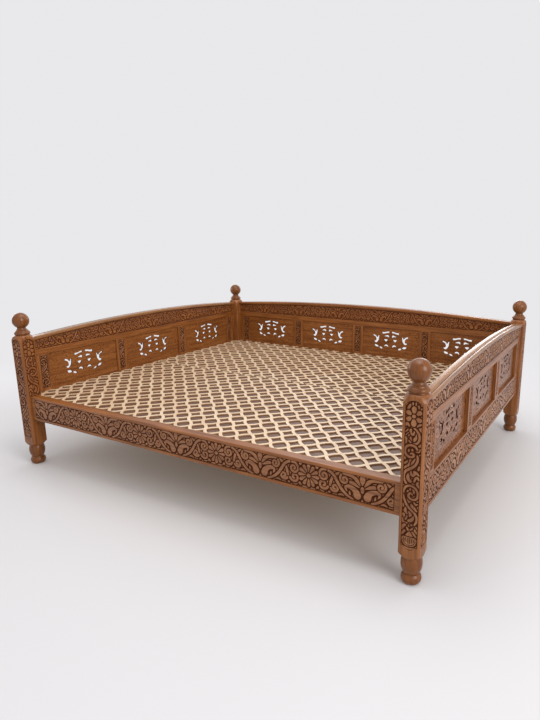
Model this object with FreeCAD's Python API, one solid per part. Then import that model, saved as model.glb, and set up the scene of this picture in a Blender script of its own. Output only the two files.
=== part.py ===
import FreeCAD, Part
import math
import os

# A low, wide platform seat: four turned corner posts, four deep carved rails, a lattice deck in two
# halves, and a panelled fence with an arched top rail round three sides. The front is open.
# Millimetres. +X runs to the right along the open front, +Y runs to the back, +Z is up.
# The origin is on the floor, in the middle of the footprint.

# Overall, over the posts' outer faces
width_over_posts = 3000.0
depth_over_posts = 2500.0
deck_height = 515.0
fit_clearance = 0.3
cut_overrun = 5.0

# What is turned has this many flats round it, so that the four corners stay light
turned_sides = 24

# Posts, turned at the foot and shouldered at the top
post_side = 110.0
post_chamfer = 9.0
post_rise_over_cap = 25.0
pad_base_radius = 38.0
pad_radius = 50.5
pad_height = 52.0
waist_radius = 39.0
bulb_radius = 53.0
bulb_height = 88.0
neck_radius = 46.0
finial_seat_radius = 49.0
pad_facets = 4
bulb_facets = 4

# Carved panels sunk into the post faces
post_panel_width = 82.0
post_panel_depth = 4.0
post_panel_crown_drop = 25.0
post_panel_arch_rise = 22.0
post_panel_foot_lift = 72.0
post_panel_dip_width = 52.0
post_panel_dip_rise = 18.0
arch_facets = 8
dip_facets = 4

# Finials, turned, with a spigot down into the post
spigot_radius = 12.5
spigot_length = 60.0
collar_radius = 51.0
collar_edge_radius = 46.0
collar_foot_rise = 4.0
collar_rise = 20.0
finial_neck_radius = 27.0
finial_cove_radius = 35.0
finial_cove_rise = 33.0
ball_radius = 53.0
bead_facets = 2
cove_facets = 3
ball_facets = 7

# Rails between the posts
face_setback = 22.0
rail_height = 170.0
rail_thickness = 75.0
rail_edge_bevel = 5.0
rail_tenon_length = 24.0
rail_tenon_thickness = 30.0
rail_tenon_height = 110.0
rail_field_end = 31.0
rail_field_top = 15.0
rail_field_bottom = 17.0
rail_field_depth = 5.0
front_ledge_width = 60.0

# Fence on three sides
fence_thickness = 38.0
fence_panel_height = 270.0
sub_rail_height = 35.0
arched_rail_end_height = 83.0
arch_rise = 50.0
cap_thickness = 22.0
cap_width = 61.0
cap_bevel = 4.0
arch_tenon_length = 24.0
arch_tenon_thickness = 14.0
arch_tenon_height = 50.0
arch_field_border = 8.0
arch_field_end = 12.0
arch_field_depth = 4.0
stile_width = 108.0
end_stile_width = 118.0
end_strip_setback = 78.0
strip_width = 57.0
strip_top_border = 8.0
strip_bottom_border = 20.0
strip_depth = 4.0
panel_thickness = 10.0
panel_inner_recess = 8.0
groove_depth = 8.0
back_panel_count = 4
side_panel_count = 3

# Pierced motif in each panel: its right half, mirrored to the left
motif_half_width = 172.0
motif_top_border = 28.0
motif_bottom_border = 66.0
BAR_SHARES = [(0.08, 1.0), (0.08, 0.87), (0.5, 0.79), (0.5, 0.91)]
UPPER_CRESCENT_SHARES = [(0.1, 0.62), (0.1, 0.74), (0.2, 0.79), (0.39, 0.7), (0.24, 0.7)]
DROP_SHARES = [(0.15, 0.52), (0.39, 0.54), (0.34, 0.45), (0.26, 0.4)]
FORK_SHARES = [
    (0.65, 0.72), (0.68, 0.5), (0.8, 0.33), (0.97, 0.44),
    (0.83, 0.48), (0.84, 0.6), (1.0, 0.7), (0.98, 0.8), (0.8, 0.68),
]
LOWER_CRESCENT_SHARES = [(0.1, 0.12), (0.2, 0.25), (0.32, 0.24), (0.38, 0.16), (0.22, 0.17)]
INNER_LEAF_SHARES = [(0.42, 0.01), (0.52, 0.11), (0.66, 0.13), (0.56, 0.03)]
OUTER_LEAF_SHARES = [(0.66, 0.11), (0.78, 0.22), (0.94, 0.25), (0.82, 0.12)]
MOTIF_SHARES = [
    BAR_SHARES, UPPER_CRESCENT_SHARES, DROP_SHARES, FORK_SHARES,
    LOWER_CRESCENT_SHARES, INNER_LEAF_SHARES, OUTER_LEAF_SHARES,
]

# Lattice deck: two halves, each of two crossed layers of laths, meeting at a seam over the beam
lattice_pitch = 82.4
lath_width = 20.5
lath_thickness = 3.5
seam_offset = 9.0
seam_gap = 2.0
front_row_offset = 53.0
back_row_offset = 99.0
lattice_edge_clearance = 0.5
smallest_lath_share = 0.5

# Boards under the lattice
board_thickness = 9.0
board_gap = 1.0
boards_per_half_count = 6

# Carcass under the deck
beam_width = 60.0
beam_height = 120.0
ledger_width = 30.0
ledger_height = 40.0
ledger_end_gap = 2.0
joist_width = 45.0
joist_height = 70.0
joist_count = 8
brace_width = 90.0
brace_thickness = 35.0
brace_reach = 260.0
shoe_plate = 3.0
shoe_length = 60.0
shoe_flange_width = 32.0
shoe_height = 80.0

# Sizes that follow from the ones above
half_width = width_over_posts / 2
half_depth = depth_over_posts / 2
post_half = post_side / 2
foot_height = pad_height + bulb_height
sub_rail_bottom = deck_height + fence_panel_height
sub_rail_top = sub_rail_bottom + sub_rail_height
cap_seat_end = sub_rail_top + arched_rail_end_height
arch_end_height = cap_seat_end + cap_thickness
post_top_height = arch_end_height + post_rise_over_cap
rail_bottom = deck_height - rail_height
rail_back = face_setback + rail_thickness
fence_back = face_setback + fence_thickness
fence_middle = face_setback + fence_thickness / 2
panel_back = fence_back - panel_inner_recess
panel_front = panel_back - panel_thickness
lattice_thickness = 2 * lath_thickness
lattice_seat = deck_height - lattice_thickness
board_seat = lattice_seat - board_thickness
front_seat = face_setback + front_ledge_width
joist_bottom = board_seat - joist_height

# Each side is drawn as the front is, then turned about +Z: angle, half its length, half the distance across
SIDES = {
    "front": (0, half_width - post_side, half_depth),
    "right": (90, half_depth - post_side, half_width),
    "back": (180, half_width - post_side, half_depth),
    "left": (270, half_depth - post_side, half_width),
}
FENCES = {"back": back_panel_count, "left": side_panel_count, "right": side_panel_count}

UP = FreeCAD.Vector(0, 0, 1)
CENTRE = FreeCAD.Vector(0, 0, 0)
nodes = {}


def box(x_span, y_span, z_span):
    """A box between two values on each axis."""
    low = FreeCAD.Vector(min(x_span), min(y_span), min(z_span))
    return Part.makeBox(
        max(x_span) - min(x_span), max(y_span) - min(y_span), max(z_span) - min(z_span), low
    )


def on_side(shape, side):
    """Turns a shape drawn for the front to its own side."""
    turned = shape.copy()
    turned.rotate(CENTRE, UP, SIDES[side][0])
    return turned


def side_box(side, s_span, d_span, z_span):
    """A box in a side's own terms: s along it, d inwards from the posts' outer faces."""
    across = SIDES[side][2]
    return box(s_span, (d_span[0] - across, d_span[1] - across), z_span)


def polygon(points):
    return Part.Face(Part.makePolygon(points + points[:1]))


def prism(points, direction):
    """A closed outline of points, extruded."""
    return polygon(points).extrude(direction)


def bow(a, middle, b, count):
    """Points along the arc through three points of a plane outline, both ends included."""
    ends = [FreeCAD.Vector(x, 0, z) for x, z in (a, middle, b)]
    return [(p.x, p.z) for p in Part.Arc(*ends).toShape().discretize(count + 1)]


def ring(radius, height):
    """The corners of one turned ring. Its flats touch the true circle, and one faces each side of a post."""
    step = 2 * math.pi / turned_sides
    reach = radius / math.cos(step / 2)
    angles = [(number + 1 / 2) * step for number in range(turned_sides)]
    return [FreeCAD.Vector(reach * math.cos(a), reach * math.sin(a), height) for a in angles]


def turned(profile, tip=None):
    """A solid turned about +Z through (radius, height) points from its foot up, to a flat top or a pointed tip."""
    rings = [ring(radius, height) for radius, height in profile]
    faces = [polygon(rings[0])]
    for low, high in zip(rings, rings[1:]):
        for number in range(turned_sides):
            faces.append(polygon([low[number - 1], low[number], high[number], high[number - 1]]))
    if tip is None:
        faces.append(polygon(rings[-1]))
    else:
        top = FreeCAD.Vector(0, 0, tip)
        faces += [polygon([rings[-1][number - 1], rings[-1][number], top]) for number in range(turned_sides)]
    return Part.Solid(Part.Shell(faces))


# Posts

def post_centre(sign_x, sign_y):
    return FreeCAD.Vector(sign_x * (half_width - post_half), sign_y * (half_depth - post_half), 0)


def turned_foot():
    """Pad, waist and bulb under the square block."""
    waist = (waist_radius, pad_height)
    pad = bow((pad_base_radius, 0), (pad_radius, pad_height / 2), waist, pad_facets)
    bulb_middle = pad_height + bulb_height / 2
    bulb = bow(waist, (bulb_radius, bulb_middle), (neck_radius, foot_height), bulb_facets)
    return turned(pad + bulb[1:])


def shouldered_block():
    """The square part of a post, with cone shoulders cut on its corners at both ends."""
    flat = post_half - post_chamfer
    corners = [
        (post_half, flat), (flat, post_half), (-flat, post_half), (-post_half, flat),
        (-post_half, -flat), (-flat, -post_half), (flat, -post_half), (post_half, -flat),
    ]
    height = post_top_height - foot_height
    square = prism([FreeCAD.Vector(x, y, foot_height) for x, y in corners], UP * height)
    reach = post_side
    envelope = turned([
        (neck_radius, foot_height),
        (reach, foot_height + reach - neck_radius),
        (reach, post_top_height - reach + finial_seat_radius),
        (finial_seat_radius, post_top_height),
    ])
    return square.common(envelope)


def panel_outline(foot, dipped):
    """The sunk panel of a post face, in the XZ plane about the face's middle line."""
    side = post_panel_width / 2
    crown = post_top_height - post_panel_crown_drop
    spring = crown - post_panel_arch_rise
    outline = bow((side, spring), (0, crown), (-side, spring), arch_facets) + [(-side, foot)]
    if dipped:
        dip = post_panel_dip_width / 2
        outline += bow((-dip, foot), (0, foot - post_panel_dip_rise), (dip, foot), dip_facets)
    outline.append((side, foot))
    return polygon([FreeCAD.Vector(x, 0, z) for x, z in outline])


def sunk_panel(angle, foot, dipped):
    """The cutter for one face: angle 0 is the front face, 90 the right one."""
    cutter = panel_outline(foot, dipped).extrude(FreeCAD.Vector(0, post_panel_depth + cut_overrun, 0))
    cutter.translate(FreeCAD.Vector(0, -post_half - cut_overrun, 0))
    cutter.rotate(CENTRE, UP, angle)
    return cutter


def finial_bore():
    radius = spigot_radius + fit_clearance
    foot = post_top_height - spigot_length - fit_clearance
    return turned([(radius, foot), (radius, post_top_height + cut_overrun)])


def post(sign_x, sign_y, mortises):
    """One corner post: its outer faces are carved, and a front one also on the side above the deck."""
    solid = turned_foot().fuse(shouldered_block())
    solid = solid.cut(finial_bore())
    outer_side = 90 if sign_x > 0 else 270
    outer_end = 0 if sign_y < 0 else 180
    panel_foot = foot_height + post_panel_foot_lift
    solid = solid.cut(sunk_panel(outer_side, panel_foot, True))
    solid = solid.cut(sunk_panel(outer_end, panel_foot, True))
    if sign_y < 0:
        solid = solid.cut(sunk_panel(outer_side + 180, deck_height, False))
    solid.translate(post_centre(sign_x, sign_y))
    return solid.cut(mortises).removeSplitter()


def finial():
    """Spigot, collar, cove and ball, standing on the post's top."""
    foot = post_top_height
    bead_foot = foot + collar_foot_rise
    bead_top = bead_foot + collar_rise
    ball_foot = bead_top + finial_cove_rise
    ball_centre = ball_foot + math.sqrt(ball_radius ** 2 - finial_neck_radius ** 2)
    edge = (collar_edge_radius, bead_foot)
    shoulder = (collar_edge_radius, bead_top)
    neck = (finial_neck_radius, ball_foot)
    bead = bow(edge, (collar_radius, (bead_foot + bead_top) / 2), shoulder, bead_facets)
    cove = bow(shoulder, (finial_cove_radius, (bead_top + ball_foot) / 2), neck, cove_facets)
    tip = ball_centre + ball_radius
    ball = bow(neck, (ball_radius, ball_centre), (0, tip), ball_facets)
    spigot = [(spigot_radius, foot - spigot_length), (spigot_radius, foot)]
    return turned(spigot + [(collar_edge_radius, foot)] + bead + cove[1:] + ball[1:-1], tip)


# Rails

def tenon_box(side, end, d_middle, thickness, z_span, length, clearance):
    """One tenon at an end of a side, -1 or 1, or with a clearance the mortise for it."""
    half_span = SIDES[side][1]
    root = half_span - cut_overrun if clearance else half_span
    start = end * root
    tip = end * (half_span + length + clearance)
    d_span = (d_middle - thickness / 2 - clearance, d_middle + thickness / 2 + clearance)
    return side_box(side, (start, tip), d_span, (z_span[0] - clearance, z_span[1] + clearance))


def rail_tenon(side, end, clearance=0):
    middle = rail_bottom + rail_height / 2
    z_span = (middle - rail_tenon_height / 2, middle + rail_tenon_height / 2)
    d_middle = face_setback + rail_thickness / 2
    return tenon_box(side, end, d_middle, rail_tenon_thickness, z_span, rail_tenon_length, clearance)


def arch_tenon(side, end, clearance=0):
    middle = sub_rail_top + arched_rail_end_height / 2
    z_span = (middle - arch_tenon_height / 2, middle + arch_tenon_height / 2)
    return tenon_box(side, end, fence_middle, arch_tenon_thickness, z_span, arch_tenon_length, clearance)


def all_mortises():
    """Every mortise in the four posts, where it lies."""
    cutters = []
    for side in SIDES:
        for end in (-1, 1):
            cutters.append(on_side(rail_tenon(side, end, fit_clearance), side))
            if side in FENCES:
                cutters.append(on_side(arch_tenon(side, end, fit_clearance), side))
    return Part.makeCompound(cutters)


def panel_groove(side, z_span):
    """The long groove that holds the panels' edges, in a rail's top or a sub-rail's underside."""
    half_span = SIDES[side][1] + cut_overrun
    d_span = (panel_front - fit_clearance, panel_back + fit_clearance)
    return side_box(side, (-half_span, half_span), d_span, z_span)


def rail(side):
    """A deep rail: carved field outside, rebate for the deck inside, and a groove under a fence."""
    half_span = SIDES[side][1]
    across = SIDES[side][2]
    front = face_setback - across
    fenced = side in FENCES
    solid = side_box(side, (-half_span, half_span), (face_setback, rail_back), (rail_bottom, deck_height))
    rebate_from = fence_back if fenced else front_seat
    long_span = (-half_span - cut_overrun, half_span + cut_overrun)
    rebate_top = deck_height + cut_overrun
    rebate_d = (rebate_from, rail_back + cut_overrun)
    solid = solid.cut(side_box(side, long_span, rebate_d, (board_seat, rebate_top)))
    field_half = half_span - rail_field_end
    field_z = (rail_bottom + rail_field_bottom, deck_height - rail_field_top)
    field_d = (face_setback - cut_overrun, face_setback + rail_field_depth)
    solid = solid.cut(side_box(side, (-field_half, field_half), field_d, field_z))
    if fenced:
        solid = solid.cut(panel_groove(side, (deck_height - groove_depth, rebate_top)))
    else:
        wedge = prism([
            FreeCAD.Vector(long_span[0], front, deck_height),
            FreeCAD.Vector(long_span[0], front, deck_height - rail_edge_bevel),
            FreeCAD.Vector(long_span[0], front + rail_edge_bevel, deck_height),
        ], FreeCAD.Vector(long_span[1] - long_span[0], 0, 0))
        solid = solid.cut(wedge)
    solid = solid.fuse([rail_tenon(side, -1), rail_tenon(side, 1)])
    return on_side(solid, side)


# Fence

def arch_edge(half_span, end_height, rise, y):
    """The arched edge over a span, as one arc."""
    return Part.Arc(
        FreeCAD.Vector(half_span, y, end_height),
        FreeCAD.Vector(0, y, end_height + rise),
        FreeCAD.Vector(-half_span, y, end_height),
    ).toShape()


def straight_edge(a, b):
    return Part.LineSegment(a, b).toShape()


def arched_board(half_span, foot, end_height, rise, y, thickness):
    """A board with a straight foot and an arched top edge."""
    low_left = FreeCAD.Vector(-half_span, y, foot)
    low_right = FreeCAD.Vector(half_span, y, foot)
    wire = Part.Wire([
        straight_edge(low_left, low_right),
        straight_edge(low_right, FreeCAD.Vector(half_span, y, end_height)),
        arch_edge(half_span, end_height, rise, y),
        straight_edge(FreeCAD.Vector(-half_span, y, end_height), low_left),
    ])
    return Part.Face(wire).extrude(FreeCAD.Vector(0, thickness, 0))


def arch_height(s, half_span, end_height, rise):
    """The height of the arched edge at s along the span."""
    radius = (half_span ** 2 + rise ** 2) / (2 * rise)
    return end_height + rise - radius + math.sqrt(radius ** 2 - s ** 2)


def arched_rail(side):
    """The top rail, carved on both faces between a plain border."""
    half_span, across = SIDES[side][1], SIDES[side][2]
    front = face_setback - across
    solid = arched_board(half_span, sub_rail_top, cap_seat_end, arch_rise, front, fence_thickness)
    field_half = half_span - arch_field_end
    field_foot = sub_rail_top + arch_field_border
    field_end = arch_height(field_half, half_span, cap_seat_end, arch_rise) - arch_field_border
    field_rise = cap_seat_end + arch_rise - arch_field_border - field_end
    depth = arch_field_depth + cut_overrun
    for y in (front - cut_overrun, fence_back - arch_field_depth - across):
        solid = solid.cut(arched_board(field_half, field_foot, field_end, field_rise, y, depth))
    solid = solid.fuse([arch_tenon(side, -1), arch_tenon(side, 1)])
    return on_side(solid, side)


def cap(side):
    """The broad capping board that follows the arch, with its two upper edges bevelled."""
    half_span, across = SIDES[side][1], SIDES[side][2]
    y = fence_middle - cap_width / 2 - across
    top_ends = [FreeCAD.Vector(end * half_span, y, arch_end_height) for end in (-1, 1)]
    seat_ends = [FreeCAD.Vector(end * half_span, y, cap_seat_end) for end in (-1, 1)]
    wire = Part.Wire([
        arch_edge(half_span, cap_seat_end, arch_rise, y),
        straight_edge(seat_ends[0], top_ends[0]),
        arch_edge(half_span, arch_end_height, arch_rise, y),
        straight_edge(top_ends[1], seat_ends[1]),
    ])
    board = Part.Face(wire).extrude(FreeCAD.Vector(0, cap_width, 0))
    crown = arch_end_height + arch_rise
    upper = [e for e in board.Edges if e.Length > half_span and abs(e.BoundBox.ZMax - crown) < cap_bevel]
    return on_side(board.makeChamfer(cap_bevel, upper), side)


def sub_rail(side):
    """The straight rail under the arched one, grooved below for the panels."""
    half_span = SIDES[side][1]
    z_span = (sub_rail_bottom, sub_rail_top)
    solid = side_box(side, (-half_span, half_span), (face_setback, fence_back), z_span)
    groove = panel_groove(side, (sub_rail_bottom - cut_overrun, sub_rail_bottom + groove_depth))
    return on_side(solid.cut(groove), side)


def panel_width(side):
    """The clear width between two stiles."""
    count = FENCES[side]
    stiles = 2 * end_stile_width + (count - 1) * stile_width
    return (2 * SIDES[side][1] - stiles) / count


def panel_start(side, index):
    """Where panel number index begins, counted from 0."""
    return end_stile_width - SIDES[side][1] + index * (panel_width(side) + stile_width)


def stile(side, index):
    """An upright between two panels, or between a panel and a post, with a carved strip on both faces."""
    half_span = SIDES[side][1]
    last = FENCES[side]
    start = -half_span if index == 0 else panel_start(side, index) - stile_width
    end = half_span if index == last else panel_start(side, index)
    strip_middle = (start + end) / 2
    if index == 0:
        strip_middle = end_strip_setback - half_span
    if index == last:
        strip_middle = half_span - end_strip_setback
    solid = side_box(side, (start, end), (face_setback, fence_back), (deck_height, sub_rail_bottom))
    groove_d = (panel_front - fit_clearance, panel_back + fit_clearance)
    groove_z = (deck_height - cut_overrun, sub_rail_bottom + cut_overrun)
    if index > 0:
        solid = solid.cut(side_box(side, (start - cut_overrun, start + groove_depth), groove_d, groove_z))
    if index < last:
        solid = solid.cut(side_box(side, (end - groove_depth, end + cut_overrun), groove_d, groove_z))
    strip_s = (strip_middle - strip_width / 2, strip_middle + strip_width / 2)
    strip_z = (deck_height + strip_bottom_border, sub_rail_bottom - strip_top_border)
    for strip_d in ((face_setback - cut_overrun, face_setback + strip_depth),
                    (fence_back - strip_depth, fence_back + cut_overrun)):
        solid = solid.cut(side_box(side, strip_s, strip_d, strip_z))
    return on_side(solid, side)


def motif_cutters(middle, y_from, y_to):
    """The pierced motif about a panel's middle line."""
    cutters = []
    foot = deck_height + motif_bottom_border
    motif_height = fence_panel_height - motif_bottom_border - motif_top_border
    for shares in MOTIF_SHARES:
        for hand in (-1, 1):
            points = [
                FreeCAD.Vector(middle + hand * x * motif_half_width, y_from, foot + z * motif_height)
                for x, z in shares
            ]
            cutters.append(prism(points, FreeCAD.Vector(0, y_to - y_from, 0)))
    return cutters


def panel(side, index):
    """A thin pierced board held in the grooves round it."""
    reach = groove_depth - fit_clearance
    start = panel_start(side, index) - reach
    end = panel_start(side, index) + panel_width(side) + reach
    z_span = (deck_height - reach, sub_rail_bottom + reach)
    solid = side_box(side, (start, end), (panel_front, panel_back), z_span)
    across = SIDES[side][2]
    y_from = panel_front - cut_overrun - across
    y_to = panel_back + cut_overrun - across
    solid = solid.cut(motif_cutters((start + end) / 2, y_from, y_to))
    return on_side(solid, side)


# Deck

def deck_region(y_from, y_to, z_from, thickness):
    """The space that one layer of the deck fills between two depths, notched round the posts."""
    x_reach = half_width - fence_back - lattice_edge_clearance
    region = box((-x_reach, x_reach), (y_from, y_to), (z_from, z_from + thickness))
    inner_x = half_width - post_side - lattice_edge_clearance
    inner_y = half_depth - post_side - lattice_edge_clearance
    for sign_x in (-1, 1):
        for sign_y in (-1, 1):
            notch = box(
                (sign_x * inner_x, sign_x * half_width), (sign_y * inner_y, sign_y * half_depth),
                (z_from - cut_overrun, z_from + thickness + cut_overrun),
            )
            region = region.cut(notch)
    return region


def laths(y_from, y_to, row, z_from, slope):
    """One layer of parallel laths at 45 degrees, trimmed to its half of the deck. slope is 1 or -1."""
    step = lattice_pitch * math.sqrt(2)
    region = deck_region(y_from, y_to, z_from, lath_thickness)
    reach = half_width + depth_over_posts
    bar = box((-reach, reach), (-lath_width / 2, lath_width / 2), (z_from, z_from + lath_thickness))
    bar.rotate(CENTRE, UP, slope * 45)
    count = int((half_width + depth_over_posts) / step)
    least = smallest_lath_share * lattice_pitch * lath_width * lath_thickness
    pieces = []
    for number in range(-count, count + 1):
        lath = bar.copy()
        lath.translate(FreeCAD.Vector(number * step, row, 0))
        pieces += [s for s in lath.common(region).Solids if s.Volume > least]
    return Part.makeCompound(pieces)


def boards(y_from, y_to):
    """Boards side by side along the takht, filling one half of the deck under its laths."""
    step = (y_to - y_from + board_gap) / boards_per_half_count
    pieces = []
    for number in range(boards_per_half_count):
        y = y_from + number * step
        pieces.append(deck_region(y, y + step - board_gap, board_seat, board_thickness))
    return pieces


def make_deck():
    front_edge = front_seat - half_depth + lattice_edge_clearance
    back_edge = half_depth - fence_back - lattice_edge_clearance
    seam_front = seam_offset - seam_gap / 2
    seam_back = seam_offset + seam_gap / 2
    halves = {
        "front": (front_edge, seam_front, front_edge + front_row_offset),
        "back": (seam_back, back_edge, seam_back + back_row_offset),
    }
    all_boards = []
    for name, (y_from, y_to, row) in halves.items():
        all_boards += boards(y_from, y_to)
        nodes["deck_lower_laths_" + name] = laths(y_from, y_to, row, lattice_seat, 1)
        nodes["deck_upper_laths_" + name] = laths(y_from, y_to, row, lattice_seat + lath_thickness, -1)
    nodes["deck_boards"] = Part.makeCompound(all_boards)


# Carcass under the deck

def ledger(x_reach, y_from):
    """A strip that carries the joists' ends, its top at their underside."""
    z_span = (joist_bottom - ledger_height, joist_bottom)
    return box((-x_reach, x_reach), (y_from, y_from + ledger_width), z_span)


def joists(y_from, y_to):
    """One bay of joists, evenly spaced between the side rails."""
    clear_width = width_over_posts - 2 * rail_back
    step = clear_width / (joist_count + 1)
    bay = []
    for number in range(joist_count):
        middle = (number + 1) * step - clear_width / 2
        x_span = (middle - joist_width / 2, middle + joist_width / 2)
        bay.append(box(x_span, (y_from, y_to), (joist_bottom, board_seat)))
    return Part.makeCompound(bay)


def beam_shoe(sign):
    """A folded steel hanger for one end of the beam, its flanges on the side rail."""
    wall = half_width - rail_back
    inner = wall - shoe_length
    y_low = seam_offset - beam_width / 2 - fit_clearance
    y_high = seam_offset + beam_width / 2 + fit_clearance
    foot = board_seat - beam_height - shoe_plate
    top = foot + shoe_height
    length = (sign * inner, sign * wall)
    flange = (sign * (wall - shoe_plate), sign * wall)
    floor_plate = box(length, (y_low - shoe_plate, y_high + shoe_plate), (foot, foot + shoe_plate))
    pieces = []
    for y, outwards in ((y_low, -1), (y_high, 1)):
        pieces.append(box(length, (y, y + outwards * shoe_plate), (foot, top)))
        pieces.append(box(flange, (y, y + outwards * shoe_flange_width), (foot, top)))
    return floor_plate.fuse(pieces).removeSplitter()


def corner_brace(sign_x, sign_y):
    """A flat plank across a corner, mitred against both rails."""
    corner_x = half_width - rail_back
    corner_y = half_depth - rail_back
    near = brace_reach - brace_width / math.sqrt(2)
    far = brace_reach + brace_width / math.sqrt(2)
    foot = joist_bottom - ledger_height - brace_thickness
    outline = [
        (corner_x - far, corner_y), (corner_x - near, corner_y),
        (corner_x, corner_y - near), (corner_x, corner_y - far),
    ]
    points = [FreeCAD.Vector(sign_x * x, sign_y * y, foot) for x, y in outline]
    return prism(points, UP * brace_thickness)


def make_carcass():
    rail_face_y = half_depth - rail_back
    rail_face_x = half_width - rail_back
    beam_low = seam_offset - beam_width / 2
    beam_high = seam_offset + beam_width / 2
    beam_reach = rail_face_x - fit_clearance
    beam_z = (board_seat - beam_height, board_seat)
    nodes["centre_beam"] = box((-beam_reach, beam_reach), (beam_low, beam_high), beam_z)
    rail_ledger_reach = half_width - post_side - ledger_end_gap
    beam_ledger_reach = rail_face_x - shoe_length - ledger_end_gap
    nodes["front_ledger"] = ledger(rail_ledger_reach, -rail_face_y)
    nodes["back_ledger"] = ledger(rail_ledger_reach, rail_face_y - ledger_width)
    nodes["beam_front_ledger"] = ledger(beam_ledger_reach, beam_low - ledger_width)
    nodes["beam_back_ledger"] = ledger(beam_ledger_reach, beam_high)
    nodes["front_joists"] = joists(fit_clearance - rail_face_y, beam_low - fit_clearance)
    nodes["back_joists"] = joists(beam_high + fit_clearance, rail_face_y - fit_clearance)
    nodes["left_beam_shoe"] = beam_shoe(-1)
    nodes["right_beam_shoe"] = beam_shoe(1)


# The whole

CORNERS = {
    "front_left": (-1, -1), "front_right": (1, -1), "back_left": (-1, 1), "back_right": (1, 1),
}


def make_posts():
    mortises = all_mortises()
    finials = []
    for name, (sign_x, sign_y) in CORNERS.items():
        nodes["post_" + name] = post(sign_x, sign_y, mortises)
        nodes["corner_brace_" + name] = corner_brace(sign_x, sign_y)
        turned_top = finial()
        turned_top.translate(post_centre(sign_x, sign_y))
        finials.append(turned_top)
    nodes["finials"] = Part.makeCompound(finials)


def make_sides():
    for side in SIDES:
        nodes[side + "_rail"] = rail(side)
    for side, count in FENCES.items():
        nodes[side + "_sub_rail"] = sub_rail(side)
        nodes[side + "_arched_rail"] = arched_rail(side)
        nodes[side + "_cap"] = cap(side)
        for index in range(count + 1):
            nodes["%s_stile_%d" % (side, index + 1)] = stile(side, index)
        for index in range(count):
            nodes["%s_panel_%d" % (side, index + 1)] = panel(side, index)


make_posts()
make_sides()
make_deck()
make_carcass()

os.makedirs("parts", exist_ok=True)
for name, shape in nodes.items():
    shape.exportStep("parts/%s.step" % name)
print(len(nodes), "nodes,", sum(len(s.Solids) for s in nodes.values()), "solids")
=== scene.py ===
# %% [markdown]
# A persian takht is a low wooden platform, as big as a small room, where people sit on carpets to eat
# and talk. Four posts on turned feet carry deep rails; the deck is a lattice of wavy laths; a fence of
# pierced panels under an arched top rail closes three sides. The posts, the rails and the stiles of the
# fence are covered with scroll carving. The solid model fixes each piece's size and place. This lesson
# gives those pieces their finish, and adds what a solid model leaves out: the carving, the curved
# fretwork and the wavy laths.

# %% The frame
import math

import bmesh
import bpy
import numpy as np
from mathutils import Matrix, Vector


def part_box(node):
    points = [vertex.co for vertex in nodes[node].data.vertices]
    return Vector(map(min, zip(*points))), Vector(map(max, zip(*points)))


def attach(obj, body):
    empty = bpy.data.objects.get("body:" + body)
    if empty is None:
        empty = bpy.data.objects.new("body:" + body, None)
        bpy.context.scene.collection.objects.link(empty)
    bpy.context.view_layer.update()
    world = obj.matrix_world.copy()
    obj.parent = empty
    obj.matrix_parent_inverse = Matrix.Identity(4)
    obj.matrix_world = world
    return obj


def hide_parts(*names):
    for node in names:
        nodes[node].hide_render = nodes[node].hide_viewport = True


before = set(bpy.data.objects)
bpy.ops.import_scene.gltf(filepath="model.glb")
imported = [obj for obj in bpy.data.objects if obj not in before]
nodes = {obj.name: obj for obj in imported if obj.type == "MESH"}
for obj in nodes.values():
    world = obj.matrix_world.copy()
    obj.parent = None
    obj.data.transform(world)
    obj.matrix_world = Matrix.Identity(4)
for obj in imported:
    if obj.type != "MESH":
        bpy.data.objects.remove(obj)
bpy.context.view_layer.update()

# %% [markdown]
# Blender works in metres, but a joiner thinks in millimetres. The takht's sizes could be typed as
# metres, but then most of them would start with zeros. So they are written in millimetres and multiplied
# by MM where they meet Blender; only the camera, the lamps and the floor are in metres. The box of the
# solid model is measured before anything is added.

MM = 0.001
scene = bpy.context.scene

# %% [markdown]
# The main sizes are read off the model: how far out the posts stand, how thick and tall they are, where
# the deck lies and how far the fence is set in. They could be typed in again, but carving that is placed
# by the model's own faces can't drift away from them.

# %% Sizes read off the model
def edge_of(name, end, axis):
    """Where a model piece starts (end 0) or stops (end 1) along an axis, in tenths of a millimetre."""
    return round(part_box(name)[end][axis] / MM, 1)


HALF_WIDTH = edge_of("post_front_right", 1, 0)
HALF_DEPTH = edge_of("post_back_right", 1, 1)
POST_SIDE = HALF_WIDTH - edge_of("post_front_right", 0, 0)
POST_TOP = edge_of("post_front_right", 1, 2)
POST_X = HALF_WIDTH - POST_SIDE / 2
POST_Y = HALF_DEPTH - POST_SIDE / 2
DECK_TOP = edge_of("front_rail", 1, 2)
FACE_SETBACK = HALF_DEPTH + edge_of("front_rail", 0, 1)
FENCE_THICKNESS = edge_of("back_arched_rail", 1, 1) - edge_of("back_arched_rail", 0, 1)
SIDE_AXIS = {"front": "x", "back": "x", "left": "y", "right": "y"}
HALF_SPAN = {
    side: (HALF_WIDTH if axis == "x" else HALF_DEPTH) - POST_SIDE for side, axis in SIDE_AXIS.items()
}
STILE_COUNTS = {"back": 5, "left": 4, "right": 4}
CORNERS = ("front_left", "front_right", "back_left", "back_right")
print("posts", POST_SIDE, "mm square and", POST_TOP, "mm high, deck at", DECK_TOP, "mm, rails set in",
      FACE_SETBACK, "mm, fence", FENCE_THICKNESS, "mm thick")

# %% [markdown]
# The camera stands to the right of the open front at head height and looks down on the deck. It could be
# moved by eye until the picture looks alike. Here its place was worked out from the straight edges of
# the rails, posts and deck, on a footprint that is known, so the lens and the small shift are those of
# the photograph.

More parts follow.
